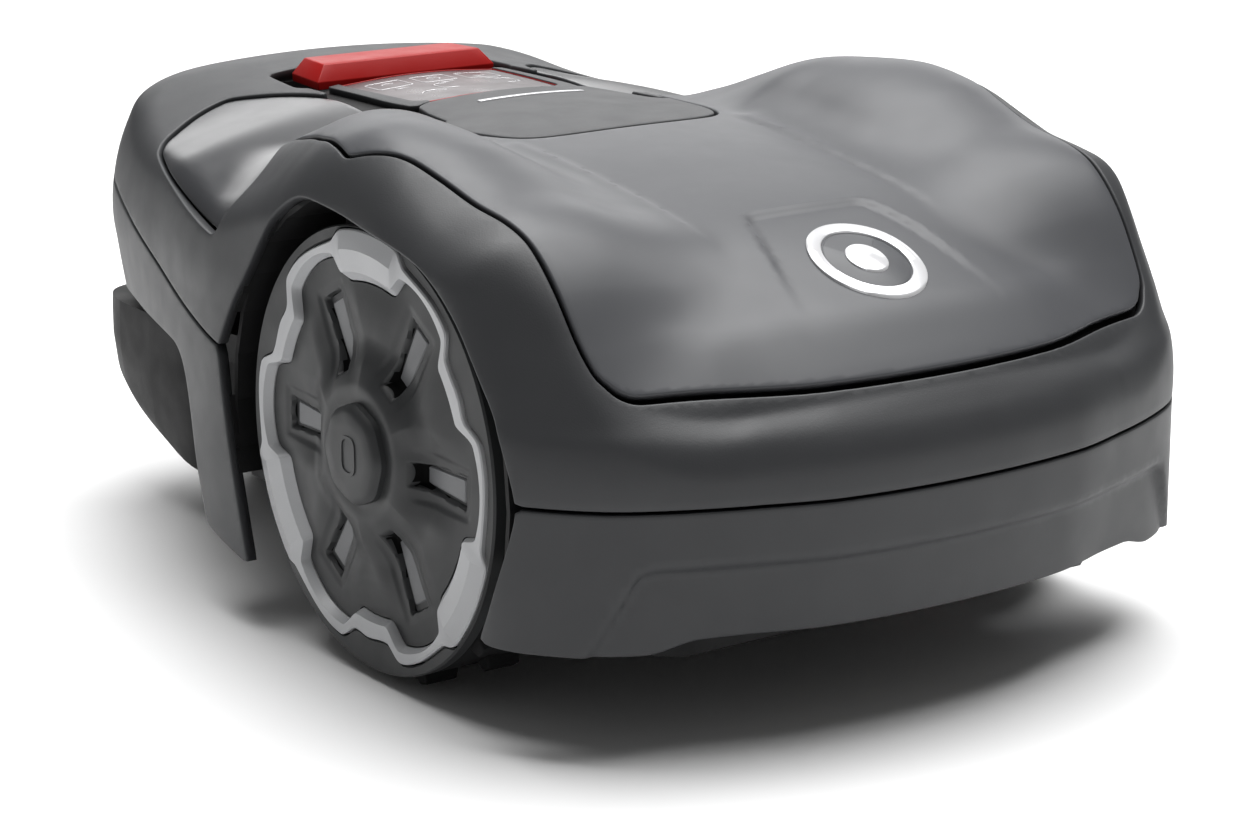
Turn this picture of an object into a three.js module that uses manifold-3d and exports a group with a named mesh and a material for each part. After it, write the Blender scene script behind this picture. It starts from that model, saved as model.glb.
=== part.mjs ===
// Robotic lawn mower: a shell that floats on a chassis with two driven wheels, two tail casters and a
// height-adjustable cutting unit. Millimetres, +Z up, +X to the machine's left side, nose towards -Y.
// Everything is laid out from the drive axle; the whole group is shifted so that the origin ends up
// under the middle of the machine, on the ground.
import * as THREE from "three";
import { mergeVertices } from "three/addons/utils/BufferGeometryUtils.js";
import Module from "manifold-3d";

const wasm = await Module();
wasm.setup();

// ---- driving dimensions ----
const HALF_WIDTH = 178; // flank of the shell
const NOSE_Y = -187; // foremost point, from the axle
const TAIL_Y = 363; // rearmost point, from the axle
const BELT_Z = 105; // seam height at the nose
const LIP_Z = 145.3; // front lip of the hood
const WALL = 3; // shell thickness
const SEAM = 0.6; // half of the gap between upper and lower shell
const GAP = 0.9; // half of the gap around the hood and the side panels
const WHEEL_RADIUS = 95;
const LUG_RADIUS = 100;
const WHEEL_FACE_X = 170;
const TYRE_INNER_X = 128;
const CASTER_X = 48;
const CASTER_Y = 288;
const CASTER_RADIUS = 32;
const CASTER_TRAIL = 8;
const DISC_Y = 88;
const DISC_RADIUS = 84;
const DISC_Z = 30;
const BLADE_COUNT = 3;
const BLADE_PIVOT_RADIUS = 74;
const BLADE_LENGTH = 34;
const SLOT_COUNT = 6;
const LUG_COUNT = 12;
const BUTTON_Y = 238.5;
const BUTTON_HALF = 50.6;
const PATCH_ANGLE = 88; // first wide patch of the trim ring, degrees from the nose direction
const PATCH_PITCH = 120;
const AXLE_Z = LUG_RADIUS;
const TUB_TOP = 134;
const TUB_BOTTOM = 36;
const BATTERY_Y = -98;
const LID_TOP = TUB_TOP + 7;
const RAIL_X = 62;
const RAIL_Z = 152;
const SPINE_FRONT = -60; // the line that the shell's sections fan out from
const SPINE_BACK = 225;

// ---- helpers ----
function solidOf(geometry) {
  const bare = geometry.index ? geometry.toNonIndexed() : geometry.clone();
  bare.deleteAttribute("normal");
  bare.deleteAttribute("uv");
  const merged = mergeVertices(bare, 1e-3);
  const faces = new Uint32Array(merged.index.array);
  const vertProperties = new Float32Array(merged.attributes.position.array);
  return new wasm.Manifold(new wasm.Mesh({ numProp: 3, vertProperties, triVerts: faces }));
}

function join(solids) {
  return solids.reduce((all, next) => all.add(next));
}

function cut(solid, tools) {
  return tools.reduce((left, tool) => left.subtract(tool), solid);
}

function vectors(points) {
  return points.map(([u, v]) => new THREE.Vector2(u, v));
}

function extrude(points, depth, basis) {
  const shape = new THREE.Shape(vectors(points));
  const geometry = new THREE.ExtrudeGeometry(shape, { depth, bevelEnabled: false, steps: 1 });
  return solidOf(geometry.applyMatrix4(basis));
}

// Prism over a plan outline (x, y), between two heights.
function prismZ(points, z0, z1) {
  return extrude(points, z1 - z0, new THREE.Matrix4().makeTranslation(0, 0, z0));
}

// Prism over a side outline (y, z), between two x values.
function prismX(points, x0, x1) {
  const basis = new THREE.Matrix4().makeBasis(
    new THREE.Vector3(0, 1, 0),
    new THREE.Vector3(0, 0, 1),
    new THREE.Vector3(1, 0, 0),
  );
  return extrude(points, x1 - x0, basis.setPosition(x0, 0, 0));
}

// Prism over a front outline (x, z), between two y values.
function prismY(points, y0, y1) {
  const basis = new THREE.Matrix4().makeBasis(
    new THREE.Vector3(1, 0, 0),
    new THREE.Vector3(0, 0, 1),
    new THREE.Vector3(0, -1, 0),
  );
  return extrude(points, y1 - y0, basis.setPosition(0, y1, 0));
}

function block(width, depth, height, x, y, z) {
  return solidOf(new THREE.BoxGeometry(width, depth, height).translate(x, y, z));
}

function postZ(radius, z0, z1, x, y, sides = 16) {
  const geometry = new THREE.CylinderGeometry(radius, radius, z1 - z0, sides).rotateX(Math.PI / 2);
  return solidOf(geometry.translate(x, y, (z0 + z1) / 2));
}

// Rod along Y, between two y values.
function rodY(radius, y0, y1, x, z) {
  return solidOf(new THREE.CylinderGeometry(radius, radius, y1 - y0, 16).translate(x, (y0 + y1) / 2, z));
}

function rodX(radius, x0, x1, y, z, sides = 16) {
  const geometry = new THREE.CylinderGeometry(radius, radius, Math.abs(x1 - x0), sides).rotateZ(Math.PI / 2);
  return solidOf(geometry.translate((x0 + x1) / 2, y, z));
}

// Lathe of (radius, height) pairs, turned the right way out whichever way the profile runs.
function lathe(profile, segments) {
  const points = profile.map(([r, h]) => new THREE.Vector2(r, h));
  if (THREE.ShapeUtils.area(points) < 0) points.reverse();
  return new THREE.LatheGeometry(points, segments);
}

// Turned piece about the X axis: the profile holds (x, radius) pairs.
function turnedX(profile, segments, y, z) {
  const pairs = profile.map(([x, r]) => [r, x]);
  return solidOf(lathe(pairs, segments).rotateZ(-Math.PI / 2).translate(0, y, z));
}

function turnedZ(profile, segments, x, y) {
  return solidOf(lathe(profile, segments).rotateX(Math.PI / 2).translate(x, y, 0));
}

function mirrored(points) {
  return points.map(([x, y]) => [-x, y]).reverse();
}

// Outline symmetric about x = 0, from the points of its left half listed from front to back.
function symmetric(half) {
  return [...half, ...mirrored(half.filter(([x]) => x > 0))];
}

function turned(outline) {
  return THREE.ShapeUtils.area(vectors(outline)) > 0 ? outline : [...outline].reverse();
}

function arc(cx, cy, radius, fromDeg, toDeg, steps) {
  return Array.from({ length: steps + 1 }, (_, i) => {
    const a = ((fromDeg + ((toDeg - fromDeg) * i) / steps) * Math.PI) / 180;
    return [cx + radius * Math.cos(a), cy + radius * Math.sin(a)];
  });
}

const root = new THREE.Group();

function addPart(name, solid, material) {
  const mesh = solid.getMesh();
  const geometry = new THREE.BufferGeometry();
  geometry.setAttribute("position", new THREE.BufferAttribute(new Float32Array(mesh.vertProperties), 3));
  geometry.setIndex(new THREE.BufferAttribute(new Uint32Array(mesh.triVerts), 1));
  geometry.computeVertexNormals();
  const part = new THREE.Mesh(geometry, material);
  part.name = name;
  root.add(part);
  return part;
}

function paint(color, roughness, metalness) {
  return new THREE.MeshStandardMaterial({ color, roughness, metalness });
}

const MATERIALS = {
  body: paint(0x4a4b4d, 0.55, 0),
  hood: paint(0x6a6c70, 0.25, 0.3),
  gloss: paint(0x3a3b3e, 0.15, 0.1),
  deck: paint(0x5a5b5d, 0.6, 0),
  screen: paint(0x8a8486, 0.1, 0),
  red: paint(0xd0281e, 0.35, 0),
  badge: paint(0xe8e8e8, 0.3, 0),
  black: paint(0x1b1b1d, 0.7, 0),
  rubber: paint(0x161617, 0.85, 0),
  ring: paint(0xb4b5b7, 0.4, 0),
  spoke: paint(0x3c3d3f, 0.55, 0),
  steel: paint(0xa8abad, 0.3, 0.9),
  board: paint(0x1d5a36, 0.5, 0),
  battery: paint(0x2c4a78, 0.5, 0),
  brass: paint(0xc9a24b, 0.3, 0.9),
};

// ---- shell surface ----
function lerp(a, b, t) {
  return a + (b - a) * t;
}

function smoothstep(from, to, value) {
  const t = Math.min(1, Math.max(0, (value - from) / (to - from)));
  return t * t * (3 - 2 * t);
}

function softMax(a, b, blend) {
  const h = Math.max(blend - Math.abs(a - b), 0) / blend;
  return Math.max(a, b) + (h * h * blend) / 4;
}

// Smooth curve through (position, value) pairs, flat-ended by straight lines.
function through(points) {
  const n = points.length;
  const slope = points.map((p, i) => {
    const a = points[Math.max(0, i - 1)];
    const b = points[Math.min(n - 1, i + 1)];
    return (b[1] - a[1]) / (b[0] - a[0]);
  });
  return (t) => {
    if (t <= points[0][0]) return points[0][1] + slope[0] * (t - points[0][0]);
    if (t >= points[n - 1][0]) return points[n - 1][1] + slope[n - 1] * (t - points[n - 1][0]);
    let i = 0;
    while (t > points[i + 1][0]) i += 1;
    const step = points[i + 1][0] - points[i][0];
    const u = (t - points[i][0]) / step;
    const a = (2 * u - 3) * u * u;
    return (
      (1 + a) * points[i][1] -
      a * points[i + 1][1] +
      step * (((u - 2) * u + 1) * u * slope[i] + (u - 1) * u * u * slope[i + 1])
    );
  };
}

// Plan shape at the belt: nose line, flank and tail line.
const noseLine = through([
  [-60, -182], [0, NOSE_Y], [60, -182], [97, -170], [119, -161], [140, -150], [152, -141], [166, -126],
  [182, -104],
]);
const flankLine = through([
  [-200, HALF_WIDTH], [60, HALF_WIDTH], [114, 177.5], [150, 172], [200, 160], [250, 147], [300, 131],
  [345, 112], [380, 92],
]);
const tailLine = (x) => TAIL_Y - 0.0016 * x * x;
// Heights along the middle, along the fender ridge, and where the ridge runs.
const middleHeight = through([
  [NOSE_Y, 131], [-182, 138], [-172, 143], [-169, 147.5], [-166, 151], [-150, 165], [-140, 171], [-90, 193],
  [-20, 206], [56, 213], [150, 214], [240, 214], [300, 214], [330, 211], [348, 205], [TAIL_Y, 194],
]);
const ridgeHeight = through([
  [-160, 122], [-150, 133], [-135, 149], [-123, 165], [-108, 186], [-91, 201.5], [-75, 209], [-50, 214.5],
  [-28, 221.5], [-9, 228], [19, 233], [45, 232.5], [70, 229.5], [98, 220], [136, 206], [180, 188],
]);
const ridgeX = through([
  [-135, 140], [-100, 138], [-60, 133], [19, 135], [45, 130], [70, 122], [136, 119],
]);
const outerFall = through([[-120, 0.002], [-100, 0.004], [-73, 0.01], [60, 0.012], [136, 0.016]]);
const innerFall = through([
  [-130, 0.002], [-94, 0.0019], [-48, 0.0028], [0, 0.0034], [45, 0.0037], [75, 0.006], [136, 0.0095],
]);
// Lean of the walls: inset from the belt outline against height.
const flankLean = through([[105, 0], [185, 0], [200, 3], [212, 8], [222, 14], [240, 30]]);
const tailLean = through([
  [60, 12], [85, 10], [BELT_Z, 6], [123, 3], [133, 1.5], [143, 0], [155, 0], [168, 2], [179, 5], [190, 9.5],
  [200, 15], [208, 24], [220, 42],
]);
const noseLean = through([
  [20, 8], [43, 6], [75, 2], [BELT_Z, 0], [118, 0], [130, 2], [138, 6], [150, 11], [165, 18], [184, 27],
  [205, 39],
]);
// How fast the top falls away from the middle, behind the fenders.
const sideDrop = through([
  [60, 0.0006], [100, 0.0009], [145, 0.0011], [200, 0.0011], [225, 0.0012], [250, 0.0013], [280, 0.0012],
  [310, 0.0007],
]);

function topHeight(x, y) {
  const across = Math.abs(x);
  const nose = 1 - smoothstep(-130, -60, y);
  const along = y - (noseLine(Math.min(across, 170)) - NOSE_Y) * nose;
  const middle = middleHeight(along) - sideDrop(Math.min(Math.max(y, 60), 310)) * across * across;
  const off = across - ridgeX(y);
  const fall = off > 0 ? outerFall(y) : innerFall(y);
  const blend = 16 - 10 * smoothstep(-110, -50, y);
  return softMax(middle, ridgeHeight(y) - fall * off * off, blend);
}

function shellField(x, y, z) {
  const across = Math.abs(x);
  const tuck = z < 143 ? smoothstep(170, 290, y) : 1;
  const lean = lerp(flankLean(z), tailLean(z) * tuck, smoothstep(60, 140, y));
  const side = across - flankLine(y) + lean;
  const corner = z < BELT_Z ? smoothstep(90, 150, across) : 0;
  const nose = (noseLine(across) - y) * 0.82 + noseLean(z) * (1 - corner);
  const tail = y - tailLine(across) + tailLean(z) * 0.7;
  const wall = softMax(softMax(side, nose, 8), tail, 40);
  return softMax(z - topHeight(x, y), wall, 12);
}

// Closed hull of the shell field, offset inwards, down to a floor height.
function hull(inset, floor) {
  const stations = [];
  const straight = 9;
  [0, 16, 32, 44, 53, 62, 73].forEach((deg) => stations.push([SPINE_FRONT, deg]));
  for (let i = 0; i <= straight; i += 1) stations.push([lerp(SPINE_FRONT, SPINE_BACK, i / straight), 90]);
  [105, 120, 135, 150, 165, 180].forEach((deg) => stations.push([SPINE_BACK, deg]));
  const rows = [floor, 74, BELT_Z].map((z) => [z, 0]);
  [8, 13, 17, 21, 26, 31, 36, 42, 48, 56, 70, 90].forEach((deg) => rows.push([BELT_Z, deg]));
  const points = [];
  const index = new Map();
  const faces = [];
  const vertex = (p) => {
    const key = p.map((v) => Math.round(v * 1000)).join(",");
    if (!index.has(key)) {
      index.set(key, points.length);
      points.push(p);
    }
    return index.get(key);
  };
  const hit = ([spineY, deg], [z, tilt], side) => {
    const a = (deg * Math.PI) / 180;
    const t = (tilt * Math.PI) / 180;
    const level = tilt === 90 ? 0 : Math.cos(t);
    const d = [Math.sin(a) * level * side, -Math.cos(a) * level, Math.sin(t)];
    let near = 0;
    let far = 260;
    for (let i = 0; i < 40; i += 1) {
      const mid = (near + far) / 2;
      const value = shellField(d[0] * mid, spineY + d[1] * mid, z + d[2] * mid);
      if (value < -inset) near = mid;
      else far = mid;
    }
    return [d[0] * near, spineY + d[1] * near, z + d[2] * near];
  };
  const triangle = (a, b, c) => {
    if (a !== b && b !== c && c !== a) faces.push(a, b, c);
  };
  const low = [];
  for (const side of [1, -1]) {
    const grid = stations.map((station) => rows.map((row) => vertex(hit(station, row, side))));
    for (let i = 0; i + 1 < grid.length; i += 1) {
      for (let j = 0; j + 1 < rows.length; j += 1) {
        const quad = [grid[i][j], grid[i + 1][j], grid[i + 1][j + 1], grid[i][j + 1]];
        if (side < 0) quad.reverse();
        triangle(quad[0], quad[1], quad[2]);
        triangle(quad[0], quad[2], quad[3]);
      }
    }
    low.push(grid.map((column) => column[0]));
  }
  const rim = [...low[0], ...low[1].slice(1, -1).reverse()];
  const centre = vertex([0, 60, floor]);
  rim.forEach((p, i) => triangle(centre, rim[(i + 1) % rim.length], p));
  const mesh = new wasm.Mesh({
    numProp: 3,
    vertProperties: new Float32Array(points.flat()),
    triVerts: new Uint32Array(faces),
  });
  return new wasm.Manifold(mesh);
}

const shell = hull(0, 28).subtract(hull(WALL, 26));

// ---- shell outlines ----
const SEAM_LINE = [[-260, BELT_Z], [-60, BELT_Z], [60, 113], [114, 124], [316, 165], [420, 178]];
const ARCH = [
  [-88, 20], [-93, 44], [-100.5, 58], [-106.5, 74], [-112, 90], [-115.5, 106], [-106, 134], [-92, 154],
  [-78, 173], [-63, 184], [-41, 191], [-11, 195], [13, 199], [45, 201], [58, 194], [70, 181], [85, 161],
  [100, 143], [113, 123], [109, 100], [104, 78], [98, 57], [90, 30], [88, 20],
];
const SKIRT_EDGE = [
  [132, 20], [134, 38], [140, 50], [147, 64], [153, 86], [159, 101], [167, 109], [182, 112], [306, 107],
  [420, 104],
];

const belowSeam = (drop) => [[-260, 0], ...SEAM_LINE.map(([y, z]) => [y, z - drop]), [420, 0]].reverse();
const aboveSeam = (lift) => [...SEAM_LINE.map(([y, z]) => [y, z + lift]), [420, 260], [-260, 260]];
const archTool = prismX(ARCH, -200, 200);
const skirtTool = prismX([...SKIRT_EDGE, [420, 10], [132, 10]].reverse(), -200, 200);
const lowerShell = shell.intersect(prismX(belowSeam(SEAM).reverse(), -200, 200));
const upperShell = cut(shell.intersect(prismX(aboveSeam(SEAM), -200, 200)), [archTool]);

const HOOD_HALF = [
  [0, -200], [134, -200], [139.5, -134.5], [144, -128], [146.5, -119], [147.5, -108], [148, -90],
  [148.5, -60], [150, -32], [154, -6], [159, 6], [168, 22], [150, 70], [127, 132], [70, 132], [65, 100],
  [62, 78], [58, 65], [53, 58], [44, 53], [24, 50.5], [0, 50],
];
const PANEL_HALF = [
  [64, 137], [62, 170], [60, 200], [62, 216], [68, 234], [76, 248], [88, 260], [104, 257], [122, 249],
  [140, 240], [190, 225], [190, 118], [174, 117], [160, 112], [146, 117], [130, 135],
];
// Lower edge of the side panels on the wall, as (y, z).
const PANEL_LOW = [
  [90, 170], [125, 172.5], [143, 174.5], [182, 180], [235, 188], [262, 193.5], [300, 200],
];

// Grows an outline by a distance, whichever way round its points run.
function offsetOutline(points, growth) {
  const distance = growth * Math.sign(THREE.ShapeUtils.area(vectors(points)));
  return points.map((p, i) => {
    const a = points[(i + points.length - 1) % points.length];
    const b = points[(i + 1) % points.length];
    const dx = b[0] - a[0];
    const dy = b[1] - a[1];
    const length = Math.hypot(dx, dy);
    return [p[0] + (dy / length) * distance, p[1] - (dx / length) * distance];
  });
}

const hoodOutline = symmetric(HOOD_HALF);
const hoodTool = (grow) => prismZ(offsetOutline(hoodOutline, grow), LIP_Z - grow, 260);
const panelOutline = (side) => (side > 0 ? PANEL_HALF : mirrored(PANEL_HALF));
const panelAbove = (grow) => [...PANEL_LOW.map(([y, z]) => [y, z - grow]), [300, 260], [90, 260]];
function panelTool(side, grow) {
  const tall = prismZ(offsetOutline(panelOutline(side), grow), 140, 260);
  return tall.intersect(prismX(panelAbove(grow), -200, 200));
}

// ---- console openings ----
const RECESS = [[-57, 233], [57, 233], [60, 240], [56, 276], [-56, 276], [-60, 240]];
const SCREEN = [[-40, 118], [0, 112], [40, 118], [46, 226], [-46, 226]];

const upperBody = cut(upperShell, [
  hoodTool(GAP),
  panelTool(1, GAP),
  panelTool(-1, GAP),
  prismZ(RECESS, 180, 260),
  prismZ(offsetOutline(SCREEN, 0.4), 180, 260),
]);
addPart("upper_body", upperBody, MATERIALS.body);
addPart("hood", upperShell.intersect(hoodTool(-GAP)), MATERIALS.hood);
for (const [name, side] of [["side_panel_left", 1], ["side_panel_right", -1]]) {
  addPart(name, upperShell.intersect(panelTool(side, -GAP)), MATERIALS.gloss);
}
const bumperFloor = prismX([[-260, 0], [-60, 0], [-60, 44], [-260, 44]], -200, 200);
const bumperArch = prismY([[-132, 40], [132, 40], [112, 49], [-112, 49]], -260, -100);
const frontPart = lowerShell.intersect(block(400, 300, 300, 0, -250, 100));
const rearPart = lowerShell.intersect(block(400, 400, 300, 0, 286, 100));
addPart("lower_bumper", cut(frontPart, [bumperFloor, bumperArch, archTool]), MATERIALS.body);
addPart("rear_skirt", cut(rearPart, [archTool, skirtTool]), MATERIALS.body);

// ---- covers let into the shell ----
// A thin skin that follows the shell surface between two depths, cut to a plan outline.
const skinHull = new Map();
function skin(outline, top, bottom) {
  for (const depth of [top, bottom]) {
    if (!skinHull.has(depth)) skinHull.set(depth, hull(depth, 28));
  }
  return skinHull.get(top).subtract(skinHull.get(bottom)).intersect(prismZ(outline, 120, 260));
}

addPart("badge_plate", skin(arc(0, -116, 21, 0, 345, 23), -2, -0.4), MATERIALS.badge);
addPart("display_panel", skin(SCREEN, 0.8, WALL), MATERIALS.screen);

const buttonSide = [
  [BUTTON_Y, 206], [BUTTON_Y, 211], [BUTTON_Y + 4.5, 218], [BUTTON_Y + 28, 218.5], [BUTTON_Y + 32, 214],
  [BUTTON_Y + 32, 206],
];
const buttonFront = symmetric([[0, 205], [BUTTON_HALF, 205], [BUTTON_HALF, 211], [44, 219], [0, 219]]);
const buttonPlan = symmetric([[0, 238], [BUTTON_HALF, 238], [46, 272], [0, 272]]);
const buttonBar = prismX(buttonSide, -60, 60).intersect(prismY(buttonFront, 230, 280));
addPart("stop_button", buttonBar.intersect(prismZ(buttonPlan, 200, 225)), MATERIALS.red);
const trayOuter = prismZ(offsetOutline(RECESS, 2.2), 197.5, 205.4);
const trayInner = prismZ(offsetOutline(RECESS, -0.3), 199.5, 208);
addPart("button_tray", trayOuter.subtract(trayInner), MATERIALS.black);
addPart("display_board", block(84, 96, 1.6, 0, 170, 204), MATERIALS.board);

// ---- arch liners ----
const insideShell = hull(WALL + 0.5, 28);
const linerProfile = [
  [119, 46], [121.5, 46], [121.5, 107], [176, 107], [176, 109.5], [119, 109.5], [119, 46],
];
const linerBox = block(400, 300, 200, 0, 0, 168);
for (const [name, side] of [["arch_liner_left", 1], ["arch_liner_right", -1]]) {
  const ring = turnedX(linerProfile.map(([x, r]) => [x * side, r]), 32, 0, AXLE_Z);
  const archEnd = prismX(ARCH, side > 0 ? 171.5 : -200, side > 0 ? 200 : -171.5);
  addPart(name, ring.intersect(linerBox).intersect(insideShell).subtract(archEnd), MATERIALS.black);
}

// ---- chassis ----
const TUB_HALF = [[0, -158], [60, -154], [98, -142], [116, -128], [116, 196], [104, 204], [0, 204]];
const TAIL_HALF = [[0, 200], [111, 200], [118, 238], [116, 264], [109, 300], [97, 330], [60, 340], [0, 343]];
const tubOutline = symmetric(TUB_HALF);
const tubBlock = prismZ(tubOutline, TUB_BOTTOM, TUB_TOP);
const tubChin = prismX([[-170, 20], [-136, 20], [-136, TUB_BOTTOM], [-170, 52]], -200, 200);
const tailDeck = prismZ(symmetric(TAIL_HALF), 86, 100);
const tubShell = join([tubBlock.subtract(tubChin), tailDeck]);
const switchBoss = block(26, 34, 14, 78, -52, 47);
const tubInside = (z0, z1) => prismZ(offsetOutline(tubOutline, -4), z0, z1);
const batteryBay = block(212, 104, 24, 0, -80, 52).intersect(tubInside(30, 70)).subtract(switchBoss);
const tub = cut(tubShell, [
  tubInside(62, TUB_TOP + 1),
  batteryBay,
  postZ(110, 30, 57, 0, DISC_Y, 48),
  postZ(34, 50, 70, 0, DISC_Y, 32),
  rodX(9, -130, 130, 0, AXLE_Z),
  block(15, 23, 9, 78, -52, 39.5),
  postZ(6.4, 80, 110, CASTER_X, CASTER_Y),
  postZ(6.4, 80, 110, -CASTER_X, CASTER_Y),
]);
addPart("chassis_tub", tub, MATERIALS.black);
const sealOuter = prismZ(offsetOutline(tubOutline, -0.6), TUB_TOP + 0.3, TUB_TOP + 2.1);
const sealInner = prismZ(offsetOutline(tubOutline, -3.6), TUB_TOP, TUB_TOP + 3);
addPart("chassis_seal", sealOuter.subtract(sealInner), MATERIALS.rubber);

const railEnds = [];
for (const x of [-RAIL_X, RAIL_X]) {
  for (const y of [-84, 176]) railEnds.push(block(16, 12, 22, x, y, LID_TOP + 9));
}
const rails = [-RAIL_X, RAIL_X].map((x) => rodY(4, -85, 177, x, RAIL_Z));
const lidPlate = prismZ(tubOutline, TUB_TOP + 2.4, LID_TOP);
const dialHole = postZ(5.6, 120, 160, 0, -24);
addPart("chassis_lid", join([lidPlate, ...railEnds, ...rails]).subtract(dialHole), MATERIALS.black);

const guardPlan = [
  [104, 236], [118, 236], [122, 262], [122.5, 305], [119, 328], [111, 344], [98, 351], [88, 344], [94, 310],
  [104, 270],
];
const guardSide = [
  [238, 85.6], [231, 60], [236, 32], [250, 23], [280, 34], [300, 42], [316, 50], [332, 60], [347, 70],
  [351, 79],
  [349, 85.6],
];
for (const [name, plan] of [["tail_guard_left", guardPlan], ["tail_guard_right", mirrored(guardPlan)]]) {
  addPart(name, prismZ(plan, 10, 90).intersect(prismX(turned(guardSide), -130, 130)), MATERIALS.black);
}

addPart("battery_pack", block(110, 56, 50, -10, BATTERY_Y, 67), MATERIALS.battery);
addPart("battery_cover", block(140, 60, 2.8, -10, BATTERY_Y, TUB_BOTTOM - 1.8), MATERIALS.black);
addPart("main_board", block(150, 84, 1.6, 0, -100, 120), MATERIALS.board);
const rockerSide = [[-62, 36], [-42, 36], [-42, 40], [-47, 43], [-57, 43], [-62, 40]];
addPart("main_switch", prismX(rockerSide, 71.5, 84.5), MATERIALS.red);
for (const [name, x] of [["charge_contact_left", 36], ["charge_contact_right", -36]]) {
  addPart(name, block(14, 2, 34, x, -160.4, 66), MATERIALS.brass);
}

// ---- floating carriage between chassis and shell ----
const carriagePieces = [block(160, 196, 4, 0, 46, 164)];
for (const x of [-RAIL_X, RAIL_X]) {
  for (const y of [-34, 126]) carriagePieces.push(block(18, 24, 18, x, y, 154.5));
}
const PIN_SPOTS = [
  { name: "lift_socket_front", y: -44, top: 190 },
  { name: "lift_socket_rear", y: 140, top: 200 },
];
PIN_SPOTS.forEach(({ y, top }) => carriagePieces.push(postZ(6, 164, top - 4, 0, y)));
const carriage = cut(join(carriagePieces), [
  ...[-RAIL_X, RAIL_X].map((x) => rodY(4.6, -104, 196, x, RAIL_Z)),
  postZ(30, 150, 180, 0, -10),
]);
addPart("bump_carriage", carriage, MATERIALS.black);
PIN_SPOTS.forEach(({ name, y, top }) => {
  const cup = join([postZ(12, 167, top, 0, y), postZ(18, top - 4, top, 0, y)]);
  addPart(name, cup.subtract(postZ(6.7, 160, top - 2, 0, y)), MATERIALS.black);
});

// ---- drives and wheels ----
// Inner and outer radius of the trim ring against the angle from the middle of a wide patch.
const ringInner = through([
  [-60, 71.5], [-48, 72], [-42, 82], [-18, 82], [-13, 72], [15, 72], [20, 82], [46, 82], [53, 72],
  [60, 71.5],
]);
const ringOuter = through([
  [-60, 81], [-48, 81], [-42, 89], [-19, 89], [-14, 93], [14, 93], [19, 89], [46, 89], [53, 81], [60, 81],
]);
const RING_MIN = 71.5;
const RING_MAX = 93.2;
const RING_STEPS = 60;

// Point of the wheel's face at an angle from the nose direction, moved sideways by a distance.
function facePoint(deg, radius, sideways = 0) {
  const a = (deg * Math.PI) / 180;
  const along = -radius * Math.cos(a) - sideways * Math.sin(a);
  return [along, AXLE_Z + radius * Math.sin(a) - sideways * Math.cos(a)];
}

function ringOutline(curve, growth) {
  const points = Array.from({ length: RING_STEPS }, (_, i) => {
    const deg = (i * 360) / RING_STEPS;
    const fromPatch = ((deg - PATCH_ANGLE + 360 + PATCH_PITCH / 2) % PATCH_PITCH) - PATCH_PITCH / 2;
    return facePoint(deg, Math.min(RING_MAX, Math.max(RING_MIN, curve(fromPatch))) + growth);
  });
  return turned(points);
}

function slotTools(x0, x1) {
  return Array.from({ length: SLOT_COUNT }, (_, i) => {
    const deg = PATCH_ANGLE + (360 / SLOT_COUNT) * (i + 0.5);
    const corners = [[36, -4], [66, -6], [66, 6], [36, 4]];
    const outline = corners.map(([radius, off]) => facePoint(deg, radius, off));
    return prismX(turned(outline), x0, x1);
  });
}

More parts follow.
